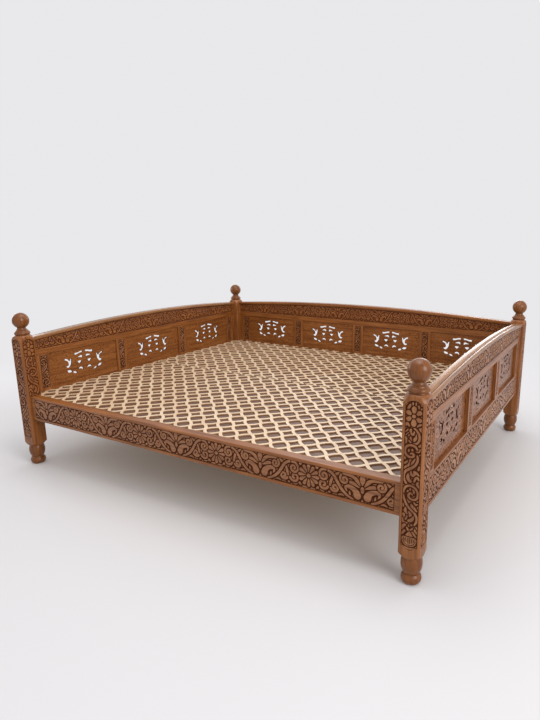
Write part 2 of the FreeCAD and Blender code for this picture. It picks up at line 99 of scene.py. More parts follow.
# %% The camera
CAMERA_PLACE = Vector((2.2093, -3.4322, 1.6374))
CAMERA_YAW = math.radians(-29.604)
CAMERA_PITCH = math.radians(-13.587)
CAMERA_ROLL = math.radians(0.101)
SENSOR_MM = 36
PHOTO_HEIGHT_PX = 720
PHOTO_WIDTH_PX = 540
FOCAL_PX = 545.77
CENTRE_PX = (319.42, 364.84)

camera_data = bpy.data.cameras.new("camera")
camera = bpy.data.objects.new("camera", camera_data)
scene.collection.objects.link(camera)
scene.camera = camera
camera_data.sensor_width = SENSOR_MM
camera_data.lens = FOCAL_PX / PHOTO_HEIGHT_PX * SENSOR_MM
camera_data.shift_x = (PHOTO_WIDTH_PX / 2 - CENTRE_PX[0]) / PHOTO_HEIGHT_PX
camera_data.shift_y = (CENTRE_PX[1] - PHOTO_HEIGHT_PX / 2) / PHOTO_HEIGHT_PX
camera.location = CAMERA_PLACE
turn = Matrix.Rotation(-CAMERA_YAW, 4, "Z")
tilt = Matrix.Rotation(math.pi / 2 + CAMERA_PITCH, 4, "X")
roll = Matrix.Rotation(-CAMERA_ROLL, 4, "Z")
camera.rotation_euler = (turn @ tilt @ roll).to_euler()
print("lens", round(camera_data.lens, 2), "mm")

# %% [markdown]
# A finish in Blender is a small network of nodes, which can be laid out by hand in the editor. In a
# script, helpers that each add one kind of node keep the networks short and the recipes readable.
# Colours are written as the eye sees them on a swatch, from 0 to 255, and turned into the linear light
# that the renderer works with.

# %% Colours
def swatch(red, green, blue):
    """A colour given as it looks on a swatch, as linear light with full cover."""
    def linear(level):
        level = level / 255
        return level / 12.92 if level <= 0.04045 else ((level + 0.055) / 1.055) ** 2.4
    return (linear(red), linear(green), linear(blue), 1)


def grey(level):
    """A neutral colour, given as linear light."""
    return (level, level, level, 1)


def tones(*colours):
    """The deep, middle and pale streaks of a wood."""
    return [swatch(*colour) for colour in colours]


print("mid grey is", round(swatch(128, 128, 128)[0], 3), "as light")


# %% Helpers for the finishes
def new_finish(name):
    """An empty finish: the material, its node tree and its shader."""
    material = bpy.data.materials.new(name)
    material.use_nodes = True
    return material, material.node_tree, material.node_tree.nodes["Principled BSDF"]


def node(tree, kind, inputs=None, **settings):
    """A new node with its settings made and its inputs joined or filled in."""
    made = tree.nodes.new(kind)
    for key, value in settings.items():
        setattr(made, key, value)
    for key, value in (inputs or {}).items():
        if isinstance(value, bpy.types.NodeSocket):
            tree.links.new(value, made.inputs[key])
        else:
            made.inputs[key].default_value = value
    return made


def arith(tree, operation, first, second):
    """One step of arithmetic."""
    return node(tree, "ShaderNodeMath", {0: first, 1: second}, operation=operation).outputs["Value"]


def vector_arith(tree, operation, first, second=(0, 0, 0)):
    """One step of arithmetic on vectors."""
    made = node(tree, "ShaderNodeVectorMath", {0: first, 1: second}, operation=operation)
    return made.outputs["Value" if operation == "LENGTH" else "Vector"]


def remap(tree, value, low, high, start=0.0, stop=1.0, **settings):
    """A value between start and stop, moved to between low and high."""
    spans = {"Value": value, "From Min": start, "From Max": stop, "To Min": low, "To Max": high}
    return node(tree, "ShaderNodeMapRange", spans, **settings).outputs["Result"]


def ramp(tree, factor, stops):
    """A colour ramp through (place, colour) stops."""
    made = node(tree, "ShaderNodeValToRGB", {"Fac": factor})
    elements = made.color_ramp.elements
    while len(elements) < len(stops):
        elements.new(0.5)
    for element, (place, colour) in zip(elements, stops):
        element.position = place
        element.color = colour
    return made.outputs["Color"]


def blend(tree, mode, factor, under, over):
    """One colour laid over another."""
    made = node(tree, "ShaderNodeMix", {0: factor, 6: under, 7: over}, data_type="RGBA", blend_type=mode)
    return made.outputs[2]


print("finish helpers ready")

# %% [markdown]
# The timber is a mid-brown hardwood under a satin varnish. Its look comes from three scales: broad
# light and dark streaks along the board, fine pores that catch the light, and a slow drift of tone from
# one end to the other. A picture of a board could be wrapped round each piece, but its grain would break
# at every edge. Noise that is stretched along the grain runs right through the board.

# %% Streaks, pores and drift
GRAIN_AXES = {"x": (1, 16, 16), "y": (16, 1, 16), "z": (16, 16, 1)}
STREAK_SCALE = 3.2
PORE_SCALE = 22.0
DRIFT_SCALE = 1.4
STREAK_PLACES = (0.3, 0.5, 0.72)


def grain(tree, place, stretch, streak_tones):
    """The colour of planed wood, and its pores."""
    along_grain = node(tree, "ShaderNodeMapping", {"Vector": place, "Scale": stretch}).outputs["Vector"]
    streaks = node(tree, "ShaderNodeTexNoise", {
        "Vector": along_grain, "Scale": STREAK_SCALE, "Detail": 6.0, "Roughness": 0.62, "Distortion": 0.7})
    pores = node(tree, "ShaderNodeTexNoise", {
        "Vector": along_grain, "Scale": PORE_SCALE, "Detail": 3.0, "Roughness": 0.7}).outputs["Fac"]
    drift = node(tree, "ShaderNodeTexNoise", {"Vector": place, "Scale": DRIFT_SCALE, "Detail": 2.0})
    colour = ramp(tree, streaks.outputs["Fac"], list(zip(STREAK_PLACES, streak_tones)))
    pore_tone = ramp(tree, pores, [(0.32, grey(0.7)), (0.52, grey(1))])
    colour = blend(tree, "MULTIPLY", 0.4, colour, pore_tone)
    drift_tone = ramp(tree, drift.outputs["Fac"], [(0.3, grey(0.86)), (0.7, grey(1))])
    return blend(tree, "MULTIPLY", 0.6, colour, drift_tone), pores


print("pores", round(1000 / PORE_SCALE / 16, 1), "mm apart across the grain")

# %% [markdown]
# The ground of a carving is burned dark before the varnish goes on, so that the shapes stand out. It
# could be painted in by hand. Here the carving carries its height as an attribute, 0 on the ground and 1
# on the tops, and one reading of it drives the colour, the shine and the varnish. The pierced panels
# also have fine leaf lines, too shallow and too many to model: bent rings round scattered points.

# %% Burned ground and incised lines
def incised_lines(tree, place, strength):
    """Fine leaf lines: low where they are cut, 1 elsewhere."""
    wander = node(tree, "ShaderNodeTexNoise", {"Vector": place, "Scale": 9.0, "Detail": 1.0})
    shift = vector_arith(tree, "MULTIPLY", wander.outputs["Color"], (0.06, 0.06, 0.06))
    bent = vector_arith(tree, "ADD", place, shift)
    leaves = node(tree, "ShaderNodeTexVoronoi", {"Vector": bent, "Scale": 30.0})
    rings = arith(tree, "PINGPONG", leaves.outputs["Distance"], 0.2)
    return ramp(tree, rings, [(0.035, grey(1 - strength)), (0.09, grey(1))])


def burn_ground(tree, shader, colour, relief, ground, sheen, coat):
    """Darkens and dulls what lies low. Returns the new colour."""
    cover = ramp(tree, relief, [(0.15, grey(0)), (0.9, grey(1))])
    tree.links.new(remap(tree, relief, 0.04, sheen), shader.inputs["Specular IOR Level"])
    tree.links.new(remap(tree, relief, 0.0, coat), shader.inputs["Coat Weight"])
    return blend(tree, "MIX", cover, ground, colour)


print("burning helpers ready")

# %% [markdown]
# The woods of the takht differ in their tones, their gloss and the way their grain runs. Each could have
# a network of its own, but with one recipe they stay related, and a change reaches them all. Most pieces
# read their place from the object's own coordinates. The laths cross at forty-five degrees, so theirs is
# read from an attribute that each lath carries. The pores also lift the surface a little, which breaks
# up the shine as an open-grained wood does.

# %% The recipe of a wood
PORE_DEPTH = 0.6 * MM
VARNISH_ROUGHNESS = 0.25


def wood(name, along, streak_tones, roughness=0.42, coat=0.45, sheen=0.2, ground=None, incised=0.0,
         attribute=None):
    """A wood whose grain runs along one axis. A ground makes it carved, incised adds leaf lines."""
    material, tree, shader = new_finish(name)
    if attribute:
        place = node(tree, "ShaderNodeAttribute", attribute_name=attribute).outputs["Vector"]
    else:
        place = node(tree, "ShaderNodeTexCoord").outputs["Object"]
    colour, pores = grain(tree, place, GRAIN_AXES[along], streak_tones)
    height = pores
    if ground:
        relief = node(tree, "ShaderNodeAttribute", attribute_name="relief").outputs["Fac"]
        if incised:
            lines = incised_lines(tree, place, incised)
            height = arith(tree, "ADD", lines, height)
            relief = arith(tree, "MULTIPLY", lines, relief)
        colour = burn_ground(tree, shader, colour, relief, ground, sheen, coat)
    else:
        shader.inputs["Specular IOR Level"].default_value = sheen
        shader.inputs["Coat Weight"].default_value = coat
    tree.links.new(colour, shader.inputs["Base Color"])
    gloss = remap(tree, pores, roughness + 0.1, roughness - 0.04, 0.3, 0.7)
    tree.links.new(gloss, shader.inputs["Roughness"])
    bump = node(tree, "ShaderNodeBump", {"Height": height, "Strength": 0.25, "Distance": PORE_DEPTH})
    tree.links.new(bump.outputs["Normal"], shader.inputs["Normal"])
    shader.inputs["Coat Roughness"].default_value = VARNISH_ROUGHNESS
    return material


print("wood recipe ready")

# %% [markdown]
# The same timber looks different from face to face. Outer carved faces are painted paler, a painted
# sheen of the light they catch; the ground of the side rails is burned darkest, with painted shade added
# in its grooves; the carving inside the fence is burned more lightly; the side caps are painted pale as
# a painted sheen, over the real shine of their varnish; and turned pieces are darker, because they show
# end grain that drinks the stain. One brown for all would be simpler, but these differences make it look
# like wood that was cut and carved, and lit. The laths and the boards under them are other woods.

# %% The woods of the takht
HEARTWOOD = tones((105, 56, 20), (136, 80, 34), (160, 101, 52))
# Paler tones for the outer carved faces: a painted sheen of the light that they catch.
PAINTED_SHEEN_TONES = tones((112, 64, 31), (142, 89, 49), (166, 113, 70))
BURNED = swatch(70, 33, 12)
# The side rails' ground: burned, and darker still as painted shade in grooves seen at a slant.
BURNED_WITH_PAINTED_SHADE = swatch(44, 20, 8)
LIGHTLY_BURNED = swatch(84, 42, 17)
PANEL_CUTS = {"outer": {"coat": 0.6, "incised": 0.85}, "inner": {"coat": 0.4, "incised": 0.4}}

HARDWOOD = {axis: wood("hardwood_along_" + axis, axis, HEARTWOOD) for axis in "xyz"}
CARVED = {
    axis: wood("carved_along_" + axis, axis, PAINTED_SHEEN_TONES, coat=0.6, ground=ground)
    for axis, ground in (("x", BURNED), ("y", BURNED_WITH_PAINTED_SHADE), ("z", BURNED))
}
SOFT_CARVED = {
    axis: wood("softly_carved_along_" + axis, axis, HEARTWOOD, ground=LIGHTLY_BURNED) for axis in "xyz"
}
INCISED = {
    (axis, face): wood(f"incised_{face}_along_{axis}", axis, HEARTWOOD, ground=BURNED, **cuts)
    for axis in "xy" for face, cuts in PANEL_CUTS.items()
}
CAPWOOD = {
    "x": wood("cap_along_x", "x", HEARTWOOD, coat=0.3),
    # The side caps' paler tones are a painted sheen; their high coat is their real varnish shine.
    "y": wood("cap_along_y", "y", tones((112, 68, 36), (143, 96, 56), (166, 118, 76)), coat=0.75),
}
LINE_BROWN = wood("burned_line", "x", tones((54, 25, 9), (64, 30, 12), (74, 36, 16)), coat=0.0, sheen=0.1)
SOFTWOOD = {
    axis: wood("softwood_along_" + axis, axis, tones((150, 112, 74), (186, 148, 104), (206, 170, 126)),
               roughness=0.6, coat=0.0)
    for axis in "xyz"
}
TURNED = wood("turned_hardwood", "z", tones((98, 52, 20), (116, 66, 26), (134, 80, 36)),
              roughness=0.28, coat=0.32)
LATHWOOD = wood("pale_laths", "x", tones((198, 161, 127), (219, 190, 155), (231, 210, 183)),
                roughness=0.5, coat=0.6, ground=swatch(168, 131, 101), attribute="grain")
GROUNDWOOD = wood("dark_ground_boards", "x", tones((70, 41, 23), (92, 57, 33), (112, 71, 43)),
                  roughness=0.5)
print(len(bpy.data.materials), "finishes")

# %% [markdown]
# The beam shoes are bent zinc-plated sheet: a metal, dulled and faintly cloudy where the zinc
# crystals differ. Cells round scattered points are the usual way to get such crystals, and the same
# cells drive the colour and the gloss, as they do on the real plating.

# %% The zinc finish
def zinc_plate():
    """Zinc plating with its cloudy crystals."""
    material, tree, shader = new_finish("zinc_plate")
    place = node(tree, "ShaderNodeTexCoord").outputs["Object"]
    crystals = node(tree, "ShaderNodeTexVoronoi", {"Vector": place, "Scale": 90.0}).outputs["Distance"]
    colour = ramp(tree, crystals, [(0.0, grey(0.42)), (0.6, grey(0.6))])
    tree.links.new(colour, shader.inputs["Base Color"])
    tree.links.new(remap(tree, crystals, 0.35, 0.5), shader.inputs["Roughness"])
    shader.inputs["Metallic"].default_value = 1.0
    return material


ZINC = zinc_plate()
print("zinc made")

# %% [markdown]
# The plain boards keep the solid model's own pieces. They only need their finish, along their own
# grain, and softened edges: a hand plane always takes off the sharp corner. The model's mesh is loose
# triangles, so a Weld joins them, a planar Decimate turns flat faces whole again, and a Bevel rounds
# every edge that turns more than thirty degrees. The same could be done to copies of the pieces, but
# modifiers leave the model's own mesh untouched.

# %% Plain boards from the solid model
EDGE_ROUNDING = 1.6 * MM
FINE_ROUNDING = 0.6 * MM
DECK_BOARD_ROUNDING = 0.4 * MM
MERGED_WITHIN = 0.01 * MM
NEARLY_FLAT = math.radians(0.5)
CORNER_TURN = math.radians(30)


def dress(name, material, rounding=EDGE_ROUNDING):
    """Gives one piece of the solid model its finish and its softened edges."""
    piece = nodes[name]
    piece.data.materials.clear()
    piece.data.materials.append(material)
    weld = piece.modifiers.new("join triangles", "WELD")
    weld.merge_threshold = MERGED_WITHIN
    flat = piece.modifiers.new("whole faces", "DECIMATE")
    flat.decimate_type = "DISSOLVE"
    flat.angle_limit = NEARLY_FLAT
    edge = piece.modifiers.new("planed edges", "BEVEL")
    edge.width = rounding
    edge.segments = 2
    edge.limit_method = "ANGLE"
    edge.angle_limit = CORNER_TURN
    edge.use_clamp_overlap = True


for side, axis in SIDE_AXIS.items():
    dress(side + "_rail", HARDWOOD[axis])
    if side in STILE_COUNTS:
        for board in ("_sub_rail", "_arched_rail"):
            dress(side + board, HARDWOOD[axis])
        for number in range(1, STILE_COUNTS[side] + 1):
            dress(f"{side}_stile_{number}", HARDWOOD["z"])
for name in ("front_joists", "back_joists"):
    dress(name, SOFTWOOD["y"], FINE_ROUNDING)
for name in ("left_beam_shoe", "right_beam_shoe"):
    dress(name, ZINC, FINE_ROUNDING)
dress("deck_boards", GROUNDWOOD, DECK_BOARD_ROUNDING)
for name in ("centre_beam", "front_ledger", "back_ledger", "beam_front_ledger", "beam_back_ledger"):
    dress(name, SOFTWOOD["x"])
for corner in CORNERS:
    dress("corner_brace_" + corner, SOFTWOOD["x"])
print("plain boards dressed")

# %% [markdown]
# A new piece is made as a mesh, given its finish, and put on the one rigid body of this object. It
# could be split where it should look crisp. Here its faces are all smooth, and the edges that turn
# sharply are marked instead, so the mesh stays closed.

# %% Helper for new pieces
def piece_of_mesh(name, mesh, material, replaced=(), sharp=40):
    """Makes a named piece of the takht out of a mesh, in place of the model pieces that it stands for."""
    mesh.materials.clear()
    mesh.materials.append(material)
    mesh.shade_smooth()
    mesh.set_sharp_from_angle(angle=math.radians(sharp))
    piece = bpy.data.objects.new(name, mesh)
    scene.collection.objects.link(piece)
    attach(piece, "root")
    if replaced:
        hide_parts(*replaced)
    print(name, len(mesh.polygons), "faces")
    return piece


def piece_from(name, bm, material, replaced=(), sharp=40):
    """The same, out of a finished bmesh."""
    bmesh.ops.recalc_face_normals(bm, faces=bm.faces)
    mesh = bpy.data.meshes.new(name)
    bm.to_mesh(mesh)
    bm.free()
    return piece_of_mesh(name, mesh, material, replaced, sharp)


print("piece helper ready")

# %% [markdown]
# What comes off a lathe is a profile swept round an axis. The profile is a short list of radii and
# heights, joined by true arcs, and one full spin with merged ends closes the form. A subdivided
# cylinder would do for a rough shape, but the arcs keep the crisp steps between the curves.

# %% Turning on the lathe
LATHE_STEPS = 72


def arc_through(first, middle, last, count):
    """Points on the circle through three (radius, height) points, without the first."""
    (ax, ay), (bx, by), (cx, cy) = first, middle, last
    a2, b2, c2 = ax ** 2 + ay ** 2, bx ** 2 + by ** 2, cx ** 2 + cy ** 2
    d = 2 * (ax * (by - cy) + bx * (cy - ay) + cx * (ay - by))
    ux = (a2 * (by - cy) + b2 * (cy - ay) + c2 * (ay - by)) / d
    uy = (a2 * (cx - bx) + b2 * (ax - cx) + c2 * (bx - ax)) / d
    start = math.atan2(ay - uy, ax - ux)
    through = (math.atan2(by - uy, bx - ux) - start) % math.tau
    sweep = (math.atan2(cy - uy, cx - ux) - start) % math.tau
    if through > sweep:
        sweep -= math.tau
    radius = math.hypot(ax - ux, ay - uy)
    angles = [start + sweep * (i + 1) / count for i in range(count)]
    return [(ux + radius * math.cos(a), uy + radius * math.sin(a)) for a in angles]


def lathe(profile):
    """A turned solid on the Z axis through (radius, height) points in millimetres, from foot to top."""
    bm = bmesh.new()
    verts = [bm.verts.new((radius * MM, 0, height * MM)) for radius, height in profile]
    edges = [bm.edges.new(pair) for pair in zip(verts, verts[1:])]
    bmesh.ops.spin(bm, geom=verts + edges, cent=(0, 0, 0), axis=(0, 0, 1), angle=math.tau,
                   steps=LATHE_STEPS, use_merge=True)
    bmesh.ops.remove_doubles(bm, verts=bm.verts, dist=0.02 * MM)
    return bm


def join_copies(bm, source, places):
    """Adds a copy of one bmesh to another at each place."""
    mesh = bpy.data.meshes.new("turned copy")
    source.to_mesh(mesh)
    source.free()
    for place in places:
        before = set(bm.verts)
        bm.from_mesh(mesh)
        bmesh.ops.translate(bm, verts=[v for v in bm.verts if v not in before], vec=place)
    bpy.data.meshes.remove(mesh)


def post_place(corner):
    """The middle of a post on the floor, in metres."""
    way_x = 1 if "right" in corner else -1
    way_y = 1 if "back" in corner else -1
    return Vector((way_x * POST_X, way_y * POST_Y, 0)) * MM


print("lathe ready")

# %% [markdown]
# Each post ends in a ball on a short neck, with a rounded collar below it and a spigot that is glued
# into the post. The outline is one run of short stretches, named as a turner would name them. Each
# finial could be turned in its place, but they are alike, so one is turned and copied to the corners.

# %% The finials
SPIGOT_RADIUS = 12.5
SPIGOT_LENGTH = 60
NECK_RADIUS = 27
BALL_RADIUS = 54.9
BALL_CENTRE = 1050.6
BALL_FOOT = BALL_CENTRE - math.sqrt(BALL_RADIUS ** 2 - NECK_RADIUS ** 2)

spigot_foot = POST_TOP - SPIGOT_LENGTH
spigot = [(0, spigot_foot), (SPIGOT_RADIUS, spigot_foot), (SPIGOT_RADIUS, POST_TOP)]
seat = [(44.5, POST_TOP), (46, POST_TOP + 1.5), (45, 954)]
collar = arc_through((45, 954), (51.8, 964.5), (47.5, 974), 10) + [(46, 975)]
cove = arc_through((46, 975), (40.8, 980), (38, 985.5), 6) + [(36, 986.3)]
neck = arc_through((36, 986.3), (30.5, 993), (27.6, BALL_FOOT - 0.5), 6) + [(NECK_RADIUS, BALL_FOOT)]
ball_top = (0.01, BALL_CENTRE + BALL_RADIUS)
ball = arc_through((NECK_RADIUS, BALL_FOOT), (BALL_RADIUS, BALL_CENTRE), ball_top, 26)
finials = bmesh.new()
join_copies(finials, lathe(spigot + seat + collar + cove + neck + ball), map(post_place, CORNERS))
piece_from("turned_finials", finials, TURNED, ["finials"])

# %% [markdown]
# A post is a square block on a turned foot. The block could be built anew from a cube, but its shape,
# with its chamfers and sunk panels, is already right in the solid model. So a copy is cut off above the
# foot, its edges are softened, and its top corners are pared down towards the finial. The foot is
# turned again with a smooth outline in place of the model's flats.

# %% Helpers for shaping copies of model pieces
def clean_copy(name):
    """A merged copy of a model piece, with its flat faces made whole."""
    bm = bmesh.new()
    bm.from_mesh(nodes[name].data)
    bmesh.ops.remove_doubles(bm, verts=bm.verts, dist=MERGED_WITHIN)
    bmesh.ops.dissolve_limit(bm, angle_limit=NEARLY_FLAT, verts=bm.verts, edges=bm.edges)
    return bm


def slice_at(bm, point, facing, dist, **clear):
    """Cuts every face along a plane. Returns what the cut made."""
    return bmesh.ops.bisect_plane(bm, geom=bm.verts[:] + bm.edges[:] + bm.faces[:], dist=dist,
                                  plane_co=point, plane_no=facing, **clear)["geom_cut"]


def cut_off(bm, point, outwards):
    """Cuts away what lies beyond a plane and closes the hole."""
    slice_at(bm, point, outwards, 1e-6, clear_outer=True)
    bmesh.ops.contextual_create(bm, geom=[e for e in bm.edges if e.is_boundary])


def soften(bm, offset, least_angle=28):
    """Rounds every edge that turns more than a few degrees."""
    edges = [e for e in bm.edges
             if len(e.link_faces) == 2 and e.calc_face_angle() > math.radians(least_angle)]
    bmesh.ops.bevel(bm, geom=edges, offset=offset, segments=2, profile=0.5, affect="EDGES",
                    clamp_overlap=True, material=-1)


print("shaping helpers ready")

# %% The posts
FOOT_TOP = 140
FOOT_TENON = 4
BLOCK_START = FOOT_TOP + 0.4
PARED_TOP_RADIUS = 53
PARED_DROP = 32
PARED_IN = 18
POST_ROUNDING = 1.5

pad = [(0, 0), (36.5, 0), (38, 1)] + arc_through((38, 1), (50.4, 26), (42, 48), 12)
waist = [(41.5, 50), (39.2, 50.5), (38.8, 53)]
bulb = arc_through((38.8, 53), (53, 96), (46, FOOT_TOP), 18)
foot_profile = pad + waist + bulb + [(46, FOOT_TOP + FOOT_TENON), (0, FOOT_TOP + FOOT_TENON)]


def pare_top(block, place):
    """Takes a post's four top corners down towards the round seat of its finial."""
    for way_x in (-1, 1):
        for way_y in (-1, 1):
            outwards = Vector((way_x, way_y, 0)).normalized()
            slope = (outwards * PARED_DROP + Vector((0, 0, PARED_IN))).normalized()
            seat_edge = place + (outwards * PARED_TOP_RADIUS + Vector((0, 0, POST_TOP))) * MM
            cut_off(block, seat_edge, slope)


def post(corner):
    """One post: the model's block on a freshly turned foot."""
    name = "post_" + corner
    place = post_place(corner)
    block = clean_copy(name)
    cut_off(block, (0, 0, BLOCK_START * MM), (0, 0, -1))
    pare_top(block, place)
    soften(block, POST_ROUNDING * MM)
    join_copies(block, lathe(foot_profile), [place])
    piece = piece_from("dressed_" + name, block, HARDWOOD["z"], [name], sharp=32)
    piece.data.materials.append(TURNED)
    for face in piece.data.polygons:
        if face.center.z < (BLOCK_START - 0.1) * MM:
            face.material_index = 1


for corner in CORNERS:
    post(corner)

# %% [markdown]
# The caps on the arched rails have one fine line cut along their outer edge. A dark stripe in the
# finish would do from afar, but a real line also catches light on its edge. Two cuts through a copy of
# the model's cap mark the line, and the strip of top face between them is pushed down and burned.

# %% The caps
LINE_FROM_EDGE = 12.5
LINE_CUT = 2.6
LINE_SUNK = 1.6
CAP_ROUNDING = 1.2
LOOKS_UP = 0.7


def lined_cap(side, axis, outwards):
    """The model's cap with its fine line. axis is the one across the cap, 0 or 1."""
    bm = clean_copy(side + "_cap")
    soften(bm, CAP_ROUNDING * MM)
    outer = max(vert.co[axis] * outwards for vert in bm.verts)
    across = Vector((0, 0, 0))
    across[axis] = outwards
    bounds = [outer - (LINE_FROM_EDGE + step) * MM for step in (LINE_CUT, 0)]
    for bound in bounds:
        slice_at(bm, across * bound, across, 1e-7)
    strip = [face for face in bm.faces if face.normal.z > LOOKS_UP
             and bounds[0] < face.calc_center_median()[axis] * outwards < bounds[1]]
    made = bmesh.ops.extrude_face_region(bm, geom=strip)["geom"]
    bmesh.ops.delete(bm, geom=strip, context="FACES_ONLY")
    verts = [g for g in made if isinstance(g, bmesh.types.BMVert)]
    bmesh.ops.translate(bm, verts=verts, vec=(0, 0, -LINE_SUNK * MM))
    bm.faces.index_update()
    line_faces = {face.index for vert in verts for face in vert.link_faces}
    finish = CAPWOOD["x" if axis else "y"]
    cap = piece_from("lined_" + side + "_cap", bm, finish, [side + "_cap"])
    cap.data.materials.append(LINE_BROWN)
    for number in line_faces:
        cap.data.polygons[number].material_index = 1


for side, axis, outwards in (("back", 1, 1), ("left", 0, -1), ("right", 0, 1)):
    lined_cap(side, axis, outwards)

# %% [markdown]
# The deck is a screen of laths that cross at forty-five degrees. Each lath is fretted to a gentle wave,
# so the openings are by turns barrel shaped and four-pointed stars, and the laths are halved into each
# other so that both faces are flush. The openings could be cut out of one board, but then its grain
# would run one way only. Here one long lath is extruded step by step, and carries its own grain.

# %% One wavy lath
PITCH = 82.4
LATH_HALF_WIDTH = 10.25
WAVE = 6.2
STEPS_PER_PITCH = 6
LATH_DEPTH = 6.9
LATH_EDGE = 1.0
JUST_UNDER = 0.1


def lath_section(sunk):
    """The outline of a lath across its length, from the middle of its width: (across, height)."""
    half, top, foot = LATH_HALF_WIDTH, DECK_TOP - sunk, DECK_TOP - LATH_DEPTH
    return [(-half, foot), (-half, top - LATH_EDGE), (-half + LATH_EDGE, top), (half - LATH_EDGE, top),
            (half, top - LATH_EDGE), (half, foot)]


def wavy_lath(length, centre_pitches, sunk):
    """A straight run of lath along X whose middle line waves. Returns a bmesh with its own grain."""
    bm = bmesh.new()
    grain_place = bm.verts.layers.float_vector.new("grain")
    relief = bm.verts.layers.float.new("relief")
    ring = [bm.verts.new((-length / 2 * MM, y * MM, z * MM)) for y, z in lath_section(sunk)]
    bm.faces.new(ring)
    count = int(length / PITCH * STEPS_PER_PITCH)
    step = length / count * MM
    front = bm.faces[:]
    for _ in range(count):
        made = bmesh.ops.extrude_face_region(bm, geom=front)["geom"]
        bmesh.ops.delete(bm, geom=front, context="FACES_ONLY")
        verts = [g for g in made if isinstance(g, bmesh.types.BMVert)]
        bmesh.ops.translate(bm, verts=verts, vec=(step, 0, 0))
        front = [g for g in made if isinstance(g, bmesh.types.BMFace)]
    for vert in bm.verts:
        along = vert.co.x / MM / PITCH + centre_pitches
        vert[grain_place] = vert.co
        vert[relief] = 1.0 if vert.co.z > (DECK_TOP - sunk - JUST_UNDER) * MM else 0.0
        vert.co.y += WAVE * MM * math.cos(math.pi * along)
    return bm


print("lath section", lath_section(0))

# %% [markdown]
# The screen lies in two halves that meet over the centre beam. An Array modifier could repeat a lath,
# but each line starts elsewhere in its wave and ends at another edge. So every line gets a copy of its
# own, placed from one barrel opening, whose place was read off the photograph, and the finished half is
# cut to its edges. Each copy also starts elsewhere in the grain, as no two laths share a board. The laths
# of the second way lie a third of a millimetre lower, so that no two faces lie in one plane.

# %% Laying the laths
STEP = PITCH * math.sqrt(2)
LATH_LENGTH = 1680
LINES_EACH_WAY = 26
OUT_OF_REACH = 800
SECOND_WAY_SUNK = 0.35
GRAIN_SHIFT = (3.7, 1.3, 0.77)


def add_lath(deck, slope, centre, pitches, number):
    """Adds one lath, turned and moved to its line, with a stretch of grain of its own."""
    lath = wavy_lath(LATH_LENGTH, pitches, 0 if slope == 1 else SECOND_WAY_SUNK)
    turned_to = Matrix.Rotation(slope * math.pi / 4, 4, "Z")
    bmesh.ops.rotate(lath, verts=lath.verts, cent=(0, 0, 0), matrix=turned_to)
    bmesh.ops.translate(lath, verts=lath.verts, vec=centre * MM)
    shift = Vector([number * part for part in GRAIN_SHIFT])
    grain_place = lath.verts.layers.float_vector["grain"]
    for vert in lath.verts:
        vert[grain_place] = vert[grain_place] + shift
    mesh = bpy.data.meshes.new("one lath")
    lath.to_mesh(mesh)
    lath.free()
    deck.from_mesh(mesh)
    bpy.data.meshes.remove(mesh)


def lay_laths(deck, barrel, middle_y, edge_x):
    """Lays every line of one half, both ways. Lines pass half a pitch beside the barrel opening."""
    lines = range(-LINES_EACH_WAY, LINES_EACH_WAY + 1)
    for number, (slope, line) in enumerate([(slope, line) for slope in (1, -1) for line in lines], 1):
        heading = Vector((1, slope, 0)).normalized()
        across = Vector((-slope, 1, 0)).normalized()
        on_line = barrel + across * PITCH * (line + 0.5)
        slide = (middle_y - on_line.y) / heading.y
        centre = on_line + heading * slide
        if abs(centre.x) < edge_x + OUT_OF_REACH:
            add_lath(deck, slope, centre, slide / PITCH + line % 2, number)


print("barrel openings", round(STEP, 1), "mm apart along the front")

# %% The two halves of the deck
BARREL_Y = {"front": -1115.0, "back": 108.0}


def deck_half(name):
    """All laths of one half, cut to the edges of the model's own laths."""
    model = "deck_upper_laths_" + name
    edge_x, y_from, y_to = edge_of(model, 1, 0), edge_of(model, 0, 1), edge_of(model, 1, 1)
    bm = bmesh.new()
    bm.verts.layers.float_vector.new("grain")
    bm.verts.layers.float.new("relief")
    lay_laths(bm, Vector((STEP / 2, BARREL_Y[name], 0)), (y_from + y_to) / 2, edge_x)
    walls = [((-edge_x, 0), (-1, 0)), ((edge_x, 0), (1, 0)), ((0, y_from), (0, -1)), ((0, y_to), (0, 1))]
    for (x, y), (way_x, way_y) in walls:
        cut = slice_at(bm, (x * MM, y * MM, 0), (way_x, way_y, 0), 1e-6, clear_outer=True)
        rim = [g for g in cut if isinstance(g, bmesh.types.BMEdge)]
        bmesh.ops.holes_fill(bm, edges=rim, sides=8)
    replaced = [f"deck_{layer}_laths_{name}" for layer in ("lower", "upper")]
    piece_from("wavy_deck_" + name, bm, LATHWOOD, replaced, sharp=32)


for half in BARREL_Y:
    deck_half(half)

# %% [markdown]
# Each fence panel is a thin board pierced with the same motif: bars, crescents, drops, forks and
# leaves, mirrored about the middle. The holes could be cut one by one with a Boolean, but a flat curve
# is the natural tool for fretwork. Every closed outline inside the board's own outline becomes a hole,
# and the curve's extrude and bevel give the board its thickness and its softened cut edges.

